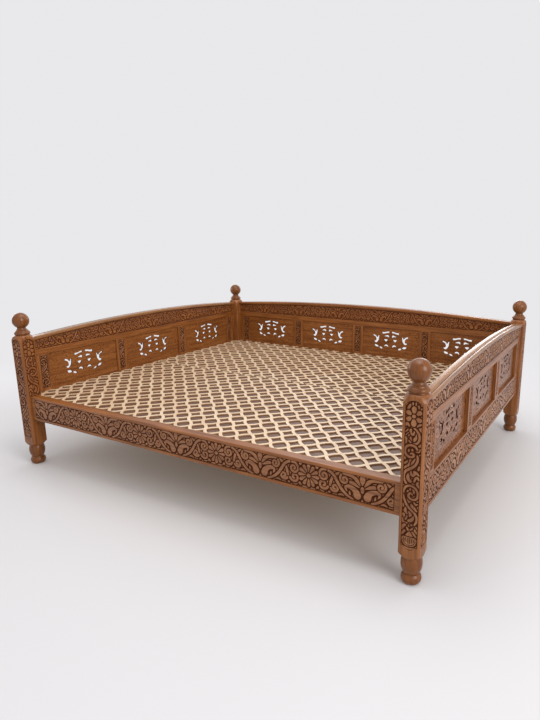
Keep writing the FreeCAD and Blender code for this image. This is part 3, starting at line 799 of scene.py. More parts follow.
# %% The pierced motif
# Half of the motif, to the right of the panel's middle: (across, height) in millimetres. A point marked
# True is a sharp corner, the others are rounded through.
MOTIF = [
    [(12, 738, True), (12, 754, True), (34, 751), (58, 745), (84, 745, True), (82, 727, True),
     (58, 730), (34, 737)],
    [(14, 692, True), (13, 712, True), (26, 719), (44, 714), (66, 705, True), (46, 703), (30, 702)],
    [(24, 676, True), (44, 679), (65, 677, True), (58, 665), (45, 654, True), (33, 663)],
    [(110, 710, True), (113, 690), (116, 670), (126, 652), (140, 640), (155, 643), (167, 657, True),
     (152, 656), (143, 664), (143, 676), (148, 690), (160, 699), (173, 703, True), (171, 717, True),
     (156, 712), (140, 703), (130, 692), (124, 705)],
    [(17, 602, True), (22, 620), (34, 628), (52, 625), (64, 610, True), (48, 613), (34, 612), (26, 606)],
    [(73, 585, True), (82, 598), (96, 604), (112, 604, True), (104, 592), (92, 586)],
    [(114, 602, True), (122, 614), (136, 621), (160, 622, True), (154, 608), (140, 600)],
]

print(2 * len(MOTIF), "openings in a panel")

# %% A fretted board
BOARD_HALF = (edge_of("back_panel_1", 1, 1) - edge_of("back_panel_1", 0, 1)) / 2
PANEL_Z = (edge_of("back_panel_1", 0, 2), edge_of("back_panel_1", 1, 2))
FRET_ROUNDING = 0.8
FRET_FLAT = BOARD_HALF - FRET_ROUNDING
FRET_STEPS = 5


def add_outline(curve, points, hand=1):
    """One closed outline of the fretwork. A hand of -1 mirrors it."""
    spline = curve.splines.new("BEZIER")
    spline.bezier_points.add(len(points) - 1)
    spline.use_cyclic_u = True
    for knot, point in zip(spline.bezier_points, points):
        knot.co = (hand * point[0] * MM, point[1] * MM, 0)
        kind = "VECTOR" if len(point) > 2 else "AUTO"
        knot.handle_left_type = kind
        knot.handle_right_type = kind


def fretted_board(half_length):
    """The mesh of one pierced board, standing in the XZ plane about the origin."""
    curve = bpy.data.curves.new("fretwork", "CURVE")
    curve.dimensions = "2D"
    curve.fill_mode = "BOTH"
    curve.resolution_u = FRET_STEPS
    curve.extrude = FRET_FLAT * MM
    curve.bevel_depth = FRET_ROUNDING * MM
    curve.bevel_resolution = 1
    end = half_length - FRET_ROUNDING
    low, high = PANEL_Z[0] + FRET_ROUNDING, PANEL_Z[1] - FRET_ROUNDING
    add_outline(curve, [(-end, low, True), (end, low, True), (end, high, True), (-end, high, True)])
    for outline in MOTIF:
        for hand in (-1, 1):
            add_outline(curve, outline, hand)
    holder = bpy.data.objects.new("fretwork", curve)
    scene.collection.objects.link(holder)
    depsgraph = bpy.context.evaluated_depsgraph_get()
    mesh = bpy.data.meshes.new_from_object(holder.evaluated_get(depsgraph))
    bpy.data.objects.remove(holder)
    mesh.transform(Matrix.Rotation(math.pi / 2, 4, "X"))
    return mesh


print("board", 2 * BOARD_HALF, "mm thick, from", *PANEL_Z, "mm")

# %% [markdown]
# Four panels stand at the back and three at each side. They could share one mesh, but the back ones
# are shorter, so each is made to the length of the model's panel. The walls of the openings are darker
# than the faces, and the leaf lines are deeper on the outer face. The first is a fade in the relief
# attribute, the second a finish of its own for each face.

# %% The ten panels in place
PANEL_COUNTS = {"back": 4, "left": 3, "right": 3}
BURN_FADE = 0.7


def panel(side, number):
    """One pierced panel in the place of the model's."""
    name = f"{side}_panel_{number}"
    axis = SIDE_AXIS[side]
    along = "xy".index(axis)
    across = 1 - along
    low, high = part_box(name)
    middle = (low + high) / 2
    board = fretted_board((high[along] - low[along]) / 2 / MM)
    burn = [(abs(vert.co.y) / MM - FRET_FLAT) / BURN_FADE for vert in board.vertices]
    relief = board.attributes.new("relief", "FLOAT", "POINT")
    relief.data.foreach_set("value", [min(1, max(0, share)) for share in burn])
    if axis == "y":
        board.transform(Matrix.Rotation(math.pi / 2, 4, "Z"))
    board.transform(Matrix.Translation((middle[0], middle[1], 0)))
    piece_of_mesh("fretted_" + name, board, INCISED[axis, "inner"], [name])
    board.materials.append(INCISED[axis, "outer"])
    for face in board.polygons:
        face.material_index = int(abs(face.center[across]) > abs(middle[across]))


for side, count in PANEL_COUNTS.items():
    for number in range(1, count + 1):
        panel(side, number)

# %% [markdown]
# The carving is a shallow relief: broad flat shapes that nearly touch, parted by narrow cuts burned
# dark. It could be sculpted by hand, but a carver works stroke by stroke, and so can a script. A stroke
# is a smooth line through a few knots, with a width that swells and tapers. Scrolls and petals are
# strokes too, whose knots follow a rule.

# %% Lines, scrolls and petals
def smooth_line(knots, spacing=1.6):
    """Close points (u, v, half width) on a smooth line through the given knots."""
    knots = np.array(knots, float)
    ends = np.vstack([2 * knots[0] - knots[1], knots, 2 * knots[-1] - knots[-2]])
    dense = [knots[:1]]
    for a, b, c, d in zip(ends, ends[1:], ends[2:], ends[3:]):
        count = max(2, int(math.hypot(c[0] - b[0], c[1] - b[1]) / spacing))
        t = (np.arange(1, count + 1) / count)[:, None]
        dense.append(0.5 * (2 * b + (c - a) * t + (2 * a - 5 * b + 4 * c - d) * t ** 2
                            + (3 * b - a - 3 * c + d) * t ** 3))
    return np.vstack(dense)


def spiral(centre, start, turns, radius_from, radius_to, half_from, half_to, count=14, ease=0.8):
    """Knots of a scroll that winds in. Angles are in degrees, turns below 0 go clockwise."""
    knots = []
    for i in range(count + 1):
        share = i / count
        angle = math.radians(start + 360 * turns * share)
        radius = radius_from + (radius_to - radius_from) * share ** ease
        knots.append((centre[0] + radius * math.cos(angle), centre[1] + radius * math.sin(angle),
                      half_from + (half_to - half_from) * share))
    return knots


def petals(centre, angles, radius_from, radius_to, half_from, half_to):
    """Round-tipped petals that stand out from a flower's eye."""
    flower = []
    for degrees in angles:
        x, y = math.cos(math.radians(degrees)), math.sin(math.radians(degrees))
        tip = radius_to - half_to
        shares = ((0, half_from), (0.45, (half_from + half_to) * 0.5), (0.8, half_to), (1, half_to * 0.92))
        petal = []
        for share, half in shares:
            reach = radius_from + (tip - radius_from) * share
            petal.append((centre[0] + x * reach, centre[1] + y * reach, half))
        flower.append(petal)
    return flower


print("a scroll of one turn has", len(smooth_line(spiral((0, 0), 0, 1, 27, 6, 6, 6))), "points")

# %% [markdown]
# Where strokes cross, a carver lets each new shape cut its own groove out of what lies under it. The
# same is done here on a fine raster of the pattern. For every point the raster keeps how far inside the
# topmost shape it lies, in millimetres. Bands that cross then pass over each other by themselves, which
# separate meshes laid over each other would not do.

# %% A raster that strokes are carved into
GROOVE = 3.6
SWELL = 1.0
RASTER = 1.5
OPEN_GROUND = -1000
STROKE_WINDOW = 14
SLOT_WINDOW = 12
DEEPEST = 20


class Pattern:
    """A stretch of carving: how far inside a shape each raster point lies, in millimetres."""

    def __init__(self, u_span, v_span):
        self.u = np.arange(u_span[0], u_span[1] + RASTER, RASTER)
        self.v = np.arange(v_span[0], v_span[1] + RASTER, RASTER)
        self.inside = np.full((len(self.v), len(self.u)), float(OPEN_GROUND))

    def carve(self, knots):
        """Carves one stroke over what is there."""
        line = smooth_line(knots)
        reach = line[:, 2].max() + GROOVE + STROKE_WINDOW
        columns = slice(*np.searchsorted(self.u, (line[:, 0].min() - reach, line[:, 0].max() + reach)))
        rows = slice(*np.searchsorted(self.v, (line[:, 1].min() - reach, line[:, 1].max() + reach)))
        under = self.inside[rows, columns]
        if under.size == 0:
            return
        u, v = self.u[columns][None, :, None], self.v[rows][:, None, None]
        depth = (line[:, 2] + SWELL - np.hypot(u - line[:, 0], v - line[:, 1])).max(axis=2)
        under[:] = np.maximum(np.minimum(under, -depth - GROOVE), depth)

    def cut(self, knots):
        """Cuts a dark slot through what is there."""
        line = smooth_line(knots)
        u, v = self.u[None, :, None], self.v[:, None, None]
        low, high = line[:, 1].min() - SLOT_WINDOW, line[:, 1].max() + SLOT_WINDOW
        rows = slice(*np.searchsorted(self.v, (low, high)))
        depth = (line[:, 2] - np.hypot(u - line[:, 0], v[rows] - line[:, 1])).max(axis=2)
        self.inside[rows] = np.minimum(self.inside[rows], -depth)

    def fill_ground(self, line_width):
        """Raises an island wherever the ground is wide, so that only lines of one width stay cut."""
        self.inside = np.minimum(np.maximum(self.inside, -self.inside - line_width), DEEPEST)

    def sample(self, u, v):
        """The raster read at any points, smoothly."""
        x = np.clip((u - self.u[0]) / RASTER, 0, len(self.u) - 1.001)
        y = np.clip((v - self.v[0]) / RASTER, 0, len(self.v) - 1.001)
        i, j = x.astype(int), y.astype(int)
        fx, fy = x - i, y - j
        grid = self.inside
        low = grid[j, i] * (1 - fx) + grid[j, i + 1] * fx
        high = grid[j + 1, i] * (1 - fx) + grid[j + 1, i + 1] * fx
        return low * (1 - fy) + high * fy


print("raster ready, one point to", RASTER, "mm")

# %% [markdown]
# The rails carry one repeat, 604 mm long, that mirrors about two flowers. At one end stands a palmette:
# an upright bud, side leaves, a comma-shaped leaf with a round lobe, and scrolls. At the other is a
# rosette of twelve petals. Two bands arch between them, cross, and end in scrolls. Carving the whole
# rail would take hundreds of strokes. So they are written once for the half repeat, from the palmette
# at 0 to the rosette at 302, and mirrored.

# %% The strokes of the rail pattern
HALF_REPEAT = 302
RAIL_FIELD = (362, 500)
ROSETTE = (HALF_REPEAT, 435.5)

PALMETTE_SIDE = [
    [(66, 383, 2.5), (68, 396, 5), (70, 406, 3)],
    [(135, 371, 3), (147, 374, 4), (160, 372, 3)],
    [(99, 374, 2.5), (114, 379, 5.5), (131, 373, 3)],
    [(181, 376, 6), (183, 376, 6)],
    [(206, 376, 2.5), (221, 371, 4), (236, 377, 2.5)],
    [(161, 447, 1.5), (159, 437, 5), (156, 431, 2.5)],
    [(14, 439, 3), (28, 445, 7), (46, 452, 9), (63, 455, 9.5)],
    [(27, 393, 20), (33, 409, 17), (47, 423, 13), (64, 430, 11.5), (80, 432, 10), (91, 424, 7.5),
     (88, 412, 5), (82, 403, 1.5)],
]
CORNER_LEAVES = [
    [(259, 497, 3), (253, 489, 6), (246, 497, 2)],
    [(246, 375, 2), (247, 385, 6), (256, 377, 4)],
]
BANDS = [
    [(13, 449, 3), (21, 461, 7), (31, 474, 10), (42, 483, 9), (56, 489, 7.5), (76, 491.5, 7),
     (100, 492, 7), (122, 489, 7), (139, 483, 7.2), (154, 472, 7.5), (165, 457, 7.5), (172, 439, 7.5),
     (176, 420, 7.5), (178, 406, 7.5)],
    spiral((151, 407), -20, -1.2, 25, 6.5, 6.5, 6),
    spiral((217, 411), 200, 1.15, 29, 7.5, 7, 6.2),
    spiral((98, 464), 48, -1.3, 27, 5.5, 6.2, 6),
    [(204, 492, 6.5), (188, 490, 7), (171, 483, 7.5), (157, 472, 7.5), (147, 458, 7.8), (136, 440, 8),
     (122, 419, 8), (107, 402, 7.8), (90, 387, 7), (70, 376, 6.2), (50, 369, 4.5)],
    [(204, 492, 6.5), (224, 489, 6.5)] + spiral((213, 460), 48, -1.3, 31, 5.5, 6.8, 6)[1:],
]
ROSETTE_EYE = [(HALF_REPEAT, 435.5, 11.5), (HALF_REPEAT + 0.5, 435.5, 11.5)]
BUD = [
    [(0, 365, 7), (0, 376, 2)],
    [(0, 411, 2.5), (0, 422, 8.5), (0, 433, 9.5), (0, 441, 5)],
    [(0, 454, 3.5), (0, 466, 9), (0, 479, 14), (0, 488, 14)],
]
print(len(PALMETTE_SIDE + CORNER_LEAVES + BANDS + BUD), "strokes in the half repeat, without the rosette")

# %% The rail pattern, carved
LINE_WIDTH = 5.2


def mirrored(knots, axis):
    """A stroke as seen in a mirror that stands across the rail at axis."""
    return [(2 * axis - u, v, half) for u, v, half in knots]


def rail_pattern():
    """The half repeat, with what reaches over from its mirror images."""
    field = Pattern((0, HALF_REPEAT), RAIL_FIELD)
    for knots in PALMETTE_SIDE + CORNER_LEAVES + BANDS:
        for image in (mirrored(knots, 0), mirrored(knots, HALF_REPEAT), knots):
            field.carve(image)
    rosette = petals(ROSETTE, range(0, 360, 30), 17, 63, 3, 10)
    for knots in rosette + [ROSETTE_EYE] + BUD:
        field.carve(knots)
    field.fill_ground(LINE_WIDTH)
    return field


RAIL_PATTERN = rail_pattern()
print("rail pattern", RAIL_PATTERN.inside.shape)

# %% [markdown]
# The posts carry a different, tall pattern that does not repeat: a six-petalled flower under the arch,
# a vine that winds from side to side with leaves and scrolls in its bends, and a fluted shell at the
# foot. It could be copied by tracing an image, but a list of strokes stays sharp at any size and can be
# read and changed. Here u is measured from the post's middle line. The long strokes of the vine come
# after the leaves beside them, so that they pass over their stalks.

# %% The vine of the posts
POST_SHAPES = [
    [(-6, 901, 3), (-6, 914, 3.5)],
    [(8, 902, 3), (8, 916, 3)],
    [(-17, 905, 4), (-23, 893, 6), (-26, 888, 4)],
    [(19, 903, 4), (24, 890, 4.5)],
    [(30, 886, 3), (34, 893, 3)],
    [(-18, 806, 3), (-28, 816, 6.5), (-33, 808, 4)],
    [(17, 809, 4), (28, 817, 5), (34, 820, 3)],
    [(-4, 801, 3), (-14, 793, 4), (-25, 786, 3.5), (-33, 777, 2)],
    [(-11, 789, 5), (-11, 776, 5.5), (-4, 768, 5.5), (4, 772, 5), (6, 783, 4)],
    [(16, 774, 3.5), (16, 762, 5), (11, 750, 7), (3, 740, 6)],
    [(-21, 773, 3), (-31, 762, 3)],
    [(-18, 762, 4), (-17, 751, 4.5)],
    [(-33, 750, 5), (-28, 737, 5), (-31, 722, 2)],
    [(-11, 753, 4), (-9, 742, 4.5), (-4, 731, 3)],
    [(-17, 737, 3.5), (-9, 728, 3.5)],
    [(4, 799, 4), (15, 789, 4.5), (25, 775, 5), (29, 758, 5), (26, 740, 5), (16, 728, 4.5), (4, 726, 3)],
    [(-16, 693, 4), (-17, 686, 3.5)],
    [(-1, 696, 4.5), (0, 686, 3.5)],
    [(35, 703, 4), (27, 692, 5), (18, 690, 3)],
    [(-34, 661, 3.5), (-33, 649, 4)],
    [(-33, 627, 4), (-26, 632, 4.5), (-20, 640, 2.5)],
    [(-8, 648, 4), (-8, 630, 6.5), (-17, 616, 6.5), (-28, 609, 5), (-34, 598, 2.5)],
    [(13, 656, 2), (8, 642, 6), (1, 629, 6), (-2, 618, 3)],
    [(33, 622, 3), (30, 606, 5)],
    [(36, 678, 2.5), (27, 672, 4)],
    [(-9, 582, 5), (-16, 567, 6.5), (-14, 552, 7), (-4, 542, 6.5), (5, 539, 3)],
    [(-4, 594, 3.5), (-2, 580, 5.5), (6, 572, 6), (13, 580, 5.5), (12, 592, 5.5), (24, 586, 5.5),
     (33, 578, 3)],
    [(13, 545, 4), (17, 559, 5), (25, 567, 5), (32, 560, 4.5), (32, 553, 3)],
    [(30, 545, 3), (27, 534, 6), (34, 520, 3)],
    [(6, 532, 4), (14, 528, 3)],
    [(-34, 519, 4), (-34, 512, 3)],
    [(22, 672, 3), (25, 660, 5), (24, 645, 5), (16, 627, 5.5), (3, 612, 6), (-12, 601, 6), (-26, 590, 5.5),
     (-33, 575, 5), (-34, 557, 5), (-29, 539, 5), (-18, 524, 4)],
    [(21, 701, 4.5), (11, 713, 5), (-5, 717, 5), (-22, 712, 5), (-32, 699, 5), (-34, 682, 5),
     (-26, 667, 5), (-12, 660, 5), (1, 662, 5), (7, 671, 5), (0, 679, 4.5), (-8, 676, 3.5)],
    [(-3, 506, 4), (-4, 499, 3.5)],
    [(9, 508, 3), (14, 496, 5), (13, 485, 3)],
    [(-13, 494, 4), (-15, 487, 3.5)],
    [(-33, 425, 4), (-32, 413, 4)],
    [(-32, 393, 4), (-31, 386, 4)],
    [(-20, 409, 4), (-22, 393, 7), (-14, 375, 6), (-8, 371, 4)],
    [(3, 432, 2), (8, 421, 7), (18, 411, 8), (29, 402, 4)],
    [(17, 441, 4), (24, 433, 4.5), (32, 437, 3)],
    [(35, 462, 3), (31, 452, 5)],
    [(12, 380, 4), (13, 364, 6), (6, 351, 8), (-6, 345, 6)],
    [(-4, 391, 4), (2, 378, 6.5), (-2, 370, 4)],
    [(-14, 367, 4), (-20, 351, 5)],
    [(-36, 371, 4), (-29, 376, 4.5), (-26, 366, 4), (-31, 361, 3)],
    [(-33, 352, 4), (-33, 339, 5), (-24, 332, 5), (-13, 333, 4)],
    [(-22, 322, 6), (-31, 312, 7), (-36, 297, 4)],
    [(15, 321, 5), (23, 306, 6.5), (34, 291, 4)],
    [(30, 322, 3.5), (34, 314, 3)],
    [(1, 330, 4.5), (-4, 318, 4)],
    [(8, 326, 5), (17, 330, 4.5)],
    [(-12, 309, 4), (-6, 299, 5), (1, 297, 5), (8, 300, 5), (13, 311, 4)],
    [(-35, 272, 4.5), (-23, 291, 5.5)],
    [(14, 291, 5), (30, 272, 4.5)],
    [(0, 287, 5), (0, 276, 11), (0, 266, 17)],
    [(-34, 441, 4), (-30, 455, 4), (-34, 476, 5), (-33, 494, 5), (-24, 512, 5), (-7, 521, 5), (11, 518, 5),
     (26, 505, 5), (32, 486, 5), (29, 467, 5), (17, 456, 5), (2, 456, 5), (-9, 465, 5), (-9, 477, 5),
     (-2, 485, 4.5), (7, 480, 3.5)],
    [(-35, 470, 4.5), (-31, 455, 5), (-24, 438, 5), (-15, 422, 5.5), (-1, 406, 5.5), (15, 393, 5.5),
     (27, 379, 5.5), (32, 362, 5.5), (29, 344, 5), (22, 331, 4)],
]
print(len(POST_SHAPES), "strokes in the vine and its leaves")

# %% The flower and the shell of the posts
POST_FLOWER = (0.5, 853)
SIDE_PETALS = [(28, 38), (26, 148), (25, 212), (26, 328)]
SHELL_TOP = 258
SHELL_BODY = [
    [(-19, 208, 4), (0, 203, 4.5), (19, 208, 4)],
    [(-22, 250, 13), (-10, 240, 22), (0, 238, 24), (10, 240, 22), (22, 250, 13)],
]


def post_flower():
    """The flower under the arch: four petals to the sides, one up, one down, and its eye."""
    centre_u, centre_v = POST_FLOWER
    flower = []
    for reach, degrees in SIDE_PETALS:
        x, y = math.cos(math.radians(degrees)), math.sin(math.radians(degrees))
        u, v = centre_u + x * reach, centre_v + y * reach
        flower.append([(u - x * 5, v - y * 5, 8), (u + x * 3, v + y * 3, 10.5)])
    flower.append([(centre_u, centre_v + rise, half) for rise, half in ((20, 7), (31, 10.5), (36, 10))])
    flower.append([(centre_u, centre_v - drop, half) for drop, half in ((19, 7), (32, 12), (38, 10))])
    flower.append([(centre_u, centre_v, 8.5), (centre_u + 0.3, centre_v, 8.5)])
    return flower


def shell_slots():
    """The dark flutes of the shell, which lean in towards its middle, and the line under them."""
    slots = []
    for place in (-24, -14.5, -5, 5, 14.5, 24):
        low = 228 + abs(place) * 0.5
        middle = (SHELL_TOP + low) / 2
        slots.append([(place, SHELL_TOP, 1.0), (place * 0.95, middle, 1.2), (place * 0.82, low, 0.8)])
    slots.append([(-29, 247, 0.8), (-22, 231, 0.9), (-11, 222, 0.9), (0, 219.5, 0.9), (11, 222, 0.9),
                  (22, 231, 0.9), (29, 247, 0.8)])
    return slots


print(len(post_flower()), "strokes in the flower,", len(shell_slots()), "slots in the shell")

# %% The post pattern, carved
POST_RASTER = ((-40, 40), (190, 928))


def post_pattern():
    """The whole tall pattern of the posts."""
    field = Pattern(*POST_RASTER)
    for knots in POST_SHAPES + SHELL_BODY + post_flower():
        field.carve(knots)
    field.fill_ground(LINE_WIDTH)
    for knots in shell_slots():
        field.cut(knots)
    return field


POST_PATTERN = post_pattern()
print("post pattern", POST_PATTERN.inside.shape)

# %% [markdown]
# A pattern becomes a piece by lifting a fine grid. A Displace modifier could lift it from an image, but
# here no image is needed: each grid point looks up how far inside a shape it lies. The shape's edge
# rises like a quarter round over a few millimetres, and its middle is dished a little, as a gouge leaves
# it. A margin of floor stays free along the edges of the sunk field that the grid fills.

# %% Heights over a field
SHOULDER = 3.4
FIELD_MARGIN = 2.6
FLOOR_SKIN = 0.35
DISH = 0.7
DISH_FROM = 3.5
DISH_REACH = 9


def relief_heights(inside, depth):
    """Heights above the field's floor for points that lie so far inside a shape."""
    rise = np.clip(inside / SHOULDER, 0, 1)
    dish = np.clip((inside - DISH_FROM) / DISH_REACH, 0, 1)
    return FLOOR_SKIN + (depth - FLOOR_SKIN) * np.sqrt(1 - (1 - rise) ** 2) - DISH * dish ** 1.5


def field_grid(half, height, cell):
    """A grid over a field, about a cell apart: the way from its middle, and the share of its height."""
    columns, rows = int(2 * half / cell), int(height / cell)
    return np.meshgrid(np.linspace(-half, half, columns + 1), np.linspace(0, 1, rows + 1))


def framed(inside, u, v, half, low, top):
    """Keeps a margin of floor along the four edges of a field."""
    for distance in (half - np.abs(u), v - low, top - v):
        inside = np.minimum(inside, distance - FIELD_MARGIN)
    return inside


print("heights 0, 2, 4 and 8 mm inside a shape:", relief_heights(np.array([0, 2, 4, 8]), 5).round(2))

# %% [markdown]
# The grid stands on the floor of its field, and its tops come flush with the border. An open sheet
# would do for a picture, but these pieces are also exported as solids, so a skirt round the rim and a
# bottom close each one. The height also goes into the relief attribute, which the finish reads.

# %% A grid lifted into a closed relief
BURN_EDGE = 1.8
SKIRT = FLOOR_SKIN - 0.1


def flat_grid(name, rows, columns):
    """A flat grid mesh, with the row and the column of each of its points."""
    bm = bmesh.new()
    bmesh.ops.create_grid(bm, x_segments=columns - 1, y_segments=rows - 1, size=0.5)
    mesh = bpy.data.meshes.new(name)
    bm.to_mesh(mesh)
    bm.free()
    flat = np.empty(len(mesh.vertices) * 3)
    mesh.vertices.foreach_get("co", flat)
    flat = flat.reshape(-1, 3) + 0.5
    column = np.rint(flat[:, 0] * (columns - 1)).astype(int)
    row = np.rint(flat[:, 1] * (rows - 1)).astype(int)
    return mesh, row, column


def close_behind(mesh, inwards):
    """Closes a lifted grid with a skirt and a bottom."""
    bm = bmesh.new()
    bm.from_mesh(mesh)
    bpy.data.meshes.remove(mesh)
    skirt = bmesh.ops.extrude_edge_only(bm, edges=[e for e in bm.edges if e.is_boundary])["geom"]
    verts = [g for g in skirt if isinstance(g, bmesh.types.BMVert)]
    bmesh.ops.translate(bm, verts=verts, vec=inwards)
    bmesh.ops.contextual_create(bm, geom=[e for e in bm.edges if e.is_boundary])
    return bm


def carved_inlay(name, u, v, inside, depth, face, material):
    """A closed relief over the points (u, v) of a face, given as (origin, u way, v way, outwards)."""
    mesh, row, column = flat_grid(name, *inside.shape)
    heights = relief_heights(inside, depth)[row, column] - depth
    origin, across, up, out = face
    places = origin + u[row, column][:, None] * across + v[row, column][:, None] * up
    mesh.vertices.foreach_set("co", ((places + heights[:, None] * out) * MM).ravel())
    relief = mesh.attributes.new("relief", "FLOAT", "POINT")
    relief.data.foreach_set("value", np.clip(inside[row, column] / BURN_EDGE, 0, 1))
    closed = close_behind(mesh, Vector(out) * -SKIRT * MM)
    piece_from(name, closed, material, sharp=70)


print("relief helpers ready")

# %% [markdown]
# Every sunk field lies in a plane on one of the four sides. A relief could be made flat and its object
# turned into place, but the grain is read from the object's own coordinates, so a piece has to be made
# where it belongs. A plane is kept as its middle, its way across, its way up and its way outwards, and
# the grids are laid out in it.

# %% Planes of the four sides
UP = np.array((0.0, 0.0, 1.0))
OUTWARDS = {"front": (0, -1, 0), "right": (1, 0, 0), "back": (0, 1, 0), "left": (-1, 0, 0)}


def face_at(side, inwards, flipped=False):
    """A plane of one side, so far in from the posts' outer faces. Flipped, it looks inwards."""
    out = np.array(OUTWARDS[side], float)
    reach = HALF_DEPTH if SIDE_AXIS[side] == "x" else HALF_WIDTH
    origin = out * (reach - inwards)
    if flipped:
        out = -out
    return origin, np.cross(UP, out), UP, out


def moved_along(face, way):
    """The same plane with its middle moved along it."""
    origin, across, up, out = face
    return origin + across * way, across, up, out


def way_along(face, point):
    """How far along a plane a point lies, in millimetres."""
    return round(float(np.dot(np.array(point) / MM, face[1])), 3)


print("the front rail's face lies at", face_at("front", FACE_SETBACK)[0])

# %% [markdown]
# The broad outer face of each rail is a sunk field between a plain lower and upper border. A texture
# could repeat the pattern along it. Here a distance along the rail is folded back and forth into the
# half repeat, so that the mirror images join without a seam, and a palmette stands near the middle.

# %% The carved fields of the four rails
RAIL_FIELD_END = 31
RAIL_DEPTH = 5
RAIL_CELL = 2.25
PALMETTE_PLACES = {"front": -15, "right": 0, "back": 15, "left": 0}


def repeat_of_rail(along):
    """Folds a distance along a rail into the half repeat."""
    return np.abs((along + HALF_REPEAT) % (2 * HALF_REPEAT) - HALF_REPEAT)


for side, start in PALMETTE_PLACES.items():
    low, top = RAIL_FIELD
    half = HALF_SPAN[side] - RAIL_FIELD_END
    u, share = field_grid(half, top - low, RAIL_CELL)
    v = low + share * (top - low)
    inside = framed(RAIL_PATTERN.sample(repeat_of_rail(u - start), v), u, v, half, low, top)
    carved_inlay(side + "_rail_carving", u, v, inside, RAIL_DEPTH, face_at(side, FACE_SETBACK),
                 CARVED[SIDE_AXIS[side]])

# %% [markdown]
# Each post has a tall sunk panel on its two outer faces, arched at the top and dipped at the foot. The
# front posts have a third one above the deck, on the face that looks along the front. A straight grid
# would have to be trimmed to the arch. Instead its rows are spread between the dip and the arch, so
# they follow both. The pattern is mirrored from one post to the next, as the vines face each other.

# %% One carved panel of a post
POST_FIELD_HALF = 41
POST_PATTERN_HALF = 39
POST_ARCH_SPRING = 903
POST_ARCH_CROWN = 925
POST_DIP_HALF = 26
POST_DIP_RISE = 18
POST_DEPTH = 4
POST_CELL = 2.2


def bow_height(across, half, rise):
    """How far a shallow arc over a chord rises at a distance from its middle."""
    radius = (half ** 2 + rise ** 2) / (2 * rise)
    return np.sqrt(np.maximum(radius ** 2 - np.minimum(np.abs(across), half) ** 2, 0)) - (radius - rise)


def post_carving(name, corner, face, foot, material, dipped=False):
    """The tall pattern in one sunk panel, between the arch above and the foot, which may have a dip."""
    way = way_along(face, post_place(corner))
    hand = math.copysign(1, way)
    u, share = field_grid(POST_FIELD_HALF, POST_ARCH_CROWN - foot, POST_CELL)
    top = POST_ARCH_SPRING + bow_height(u, POST_FIELD_HALF, POST_ARCH_CROWN - POST_ARCH_SPRING)
    low = foot - (bow_height(u, POST_DIP_HALF, POST_DIP_RISE) if dipped else 0)
    v = low + share * (top - low)
    inside = POST_PATTERN.sample(u * hand * POST_PATTERN_HALF / POST_FIELD_HALF, v)
    inside = framed(inside, u, v, POST_FIELD_HALF, low, top)
    carved_inlay(name, u, v, inside, POST_DEPTH, moved_along(face, way), material)


print("the arch rises", POST_ARCH_CROWN - POST_ARCH_SPRING, "mm over", 2 * POST_FIELD_HALF, "mm")

# %% The carved panels of the posts
POST_FIELD_FOOT = 212

for corner in CORNERS:
    end_side, outer_side = corner.split("_")
    for side in (end_side, outer_side):
        post_carving(f"post_{corner}_{side}_carving", corner, face_at(side, 0), POST_FIELD_FOOT,
                     CARVED["z"], dipped=True)
    if end_side == "front":
        inner_face = face_at(outer_side, POST_SIDE, flipped=True)
        post_carving(f"post_{corner}_inner_carving", corner, inner_face, DECK_TOP, SOFT_CARVED["z"])

# %% [markdown]
# The arched rails carry the rails' pattern again, smaller, on both faces. Their field has a straight
# foot and a bowed top. The pattern could be bent to the bow with a Curve modifier, but then its flowers
# would lean towards the ends. Here it stands upright, and only the top edge of the field follows.

# %% The carved fields of the arched rails
ARCH_SCALE = 0.85
ARCH_SQUEEZE = 0.72
ARCH_BORDER = 8
ARCH_FOOT = edge_of("back_arched_rail", 0, 2) + ARCH_BORDER
ARCH_END = edge_of("back_cap", 0, 2) - ARCH_BORDER
ARCH_RISE = 50
ARCH_FIELD_END = 12
ARCH_CELL = 2.7
FENCE_RELIEF = 4

for side in STILE_COUNTS:
    half = HALF_SPAN[side] - ARCH_FIELD_END
    start = HALF_REPEAT if side == "back" else 0
    u, share = field_grid(half, ARCH_END + ARCH_RISE - ARCH_FOOT, ARCH_CELL)
    top = ARCH_END + bow_height(u, HALF_SPAN[side], ARCH_RISE)
    v = ARCH_FOOT + share * (top - ARCH_FOOT)
    lift = (v - ARCH_FOOT) / ARCH_SCALE + RAIL_FIELD[0]
    inside = RAIL_PATTERN.sample(repeat_of_rail(u / ARCH_SQUEEZE - start), lift) * ARCH_SQUEEZE
    inside = framed(inside, u, v, half, ARCH_FOOT, top)
    carved_inlay(side + "_arch_outer_carving", u, v, inside, FENCE_RELIEF,
                 face_at(side, FACE_SETBACK), CARVED[SIDE_AXIS[side]])
    carved_inlay(side + "_arch_inner_carving", u, v, inside, FENCE_RELIEF,
                 face_at(side, FACE_SETBACK + FENCE_THICKNESS, flipped=True), SOFT_CARVED[SIDE_AXIS[side]])

# %% [markdown]
# The stiles between the panels have a narrow strip of scrolls on both faces. A new pattern could be
# drawn for them, but the scrolls are of the posts' kind, so a stretch of that vine is made smaller.
# Each strip stands in the middle of its stile, apart from the two at the ends, which keep a set
# distance from the post because their stiles are wider.

# %% The carved strips of the stiles
STRIP_HALF = 28.5
STRIP_Z = (535, 777)
STRIP_SCALE = STRIP_HALF / POST_PATTERN_HALF
STRIP_CELL = 2.4
STRIP_FROM = 425
END_STRIP_SETBACK = 78


def strip_middles(side):
    """Where the strips of one fence stand, along it."""
    face = face_at(side, FACE_SETBACK)
    stiles = [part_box(f"{side}_stile_{number}") for number in range(2, STILE_COUNTS[side])]
    end = HALF_SPAN[side] - END_STRIP_SETBACK
    return [-end] + [way_along(face, (low + high) / 2) for low, high in stiles] + [end]


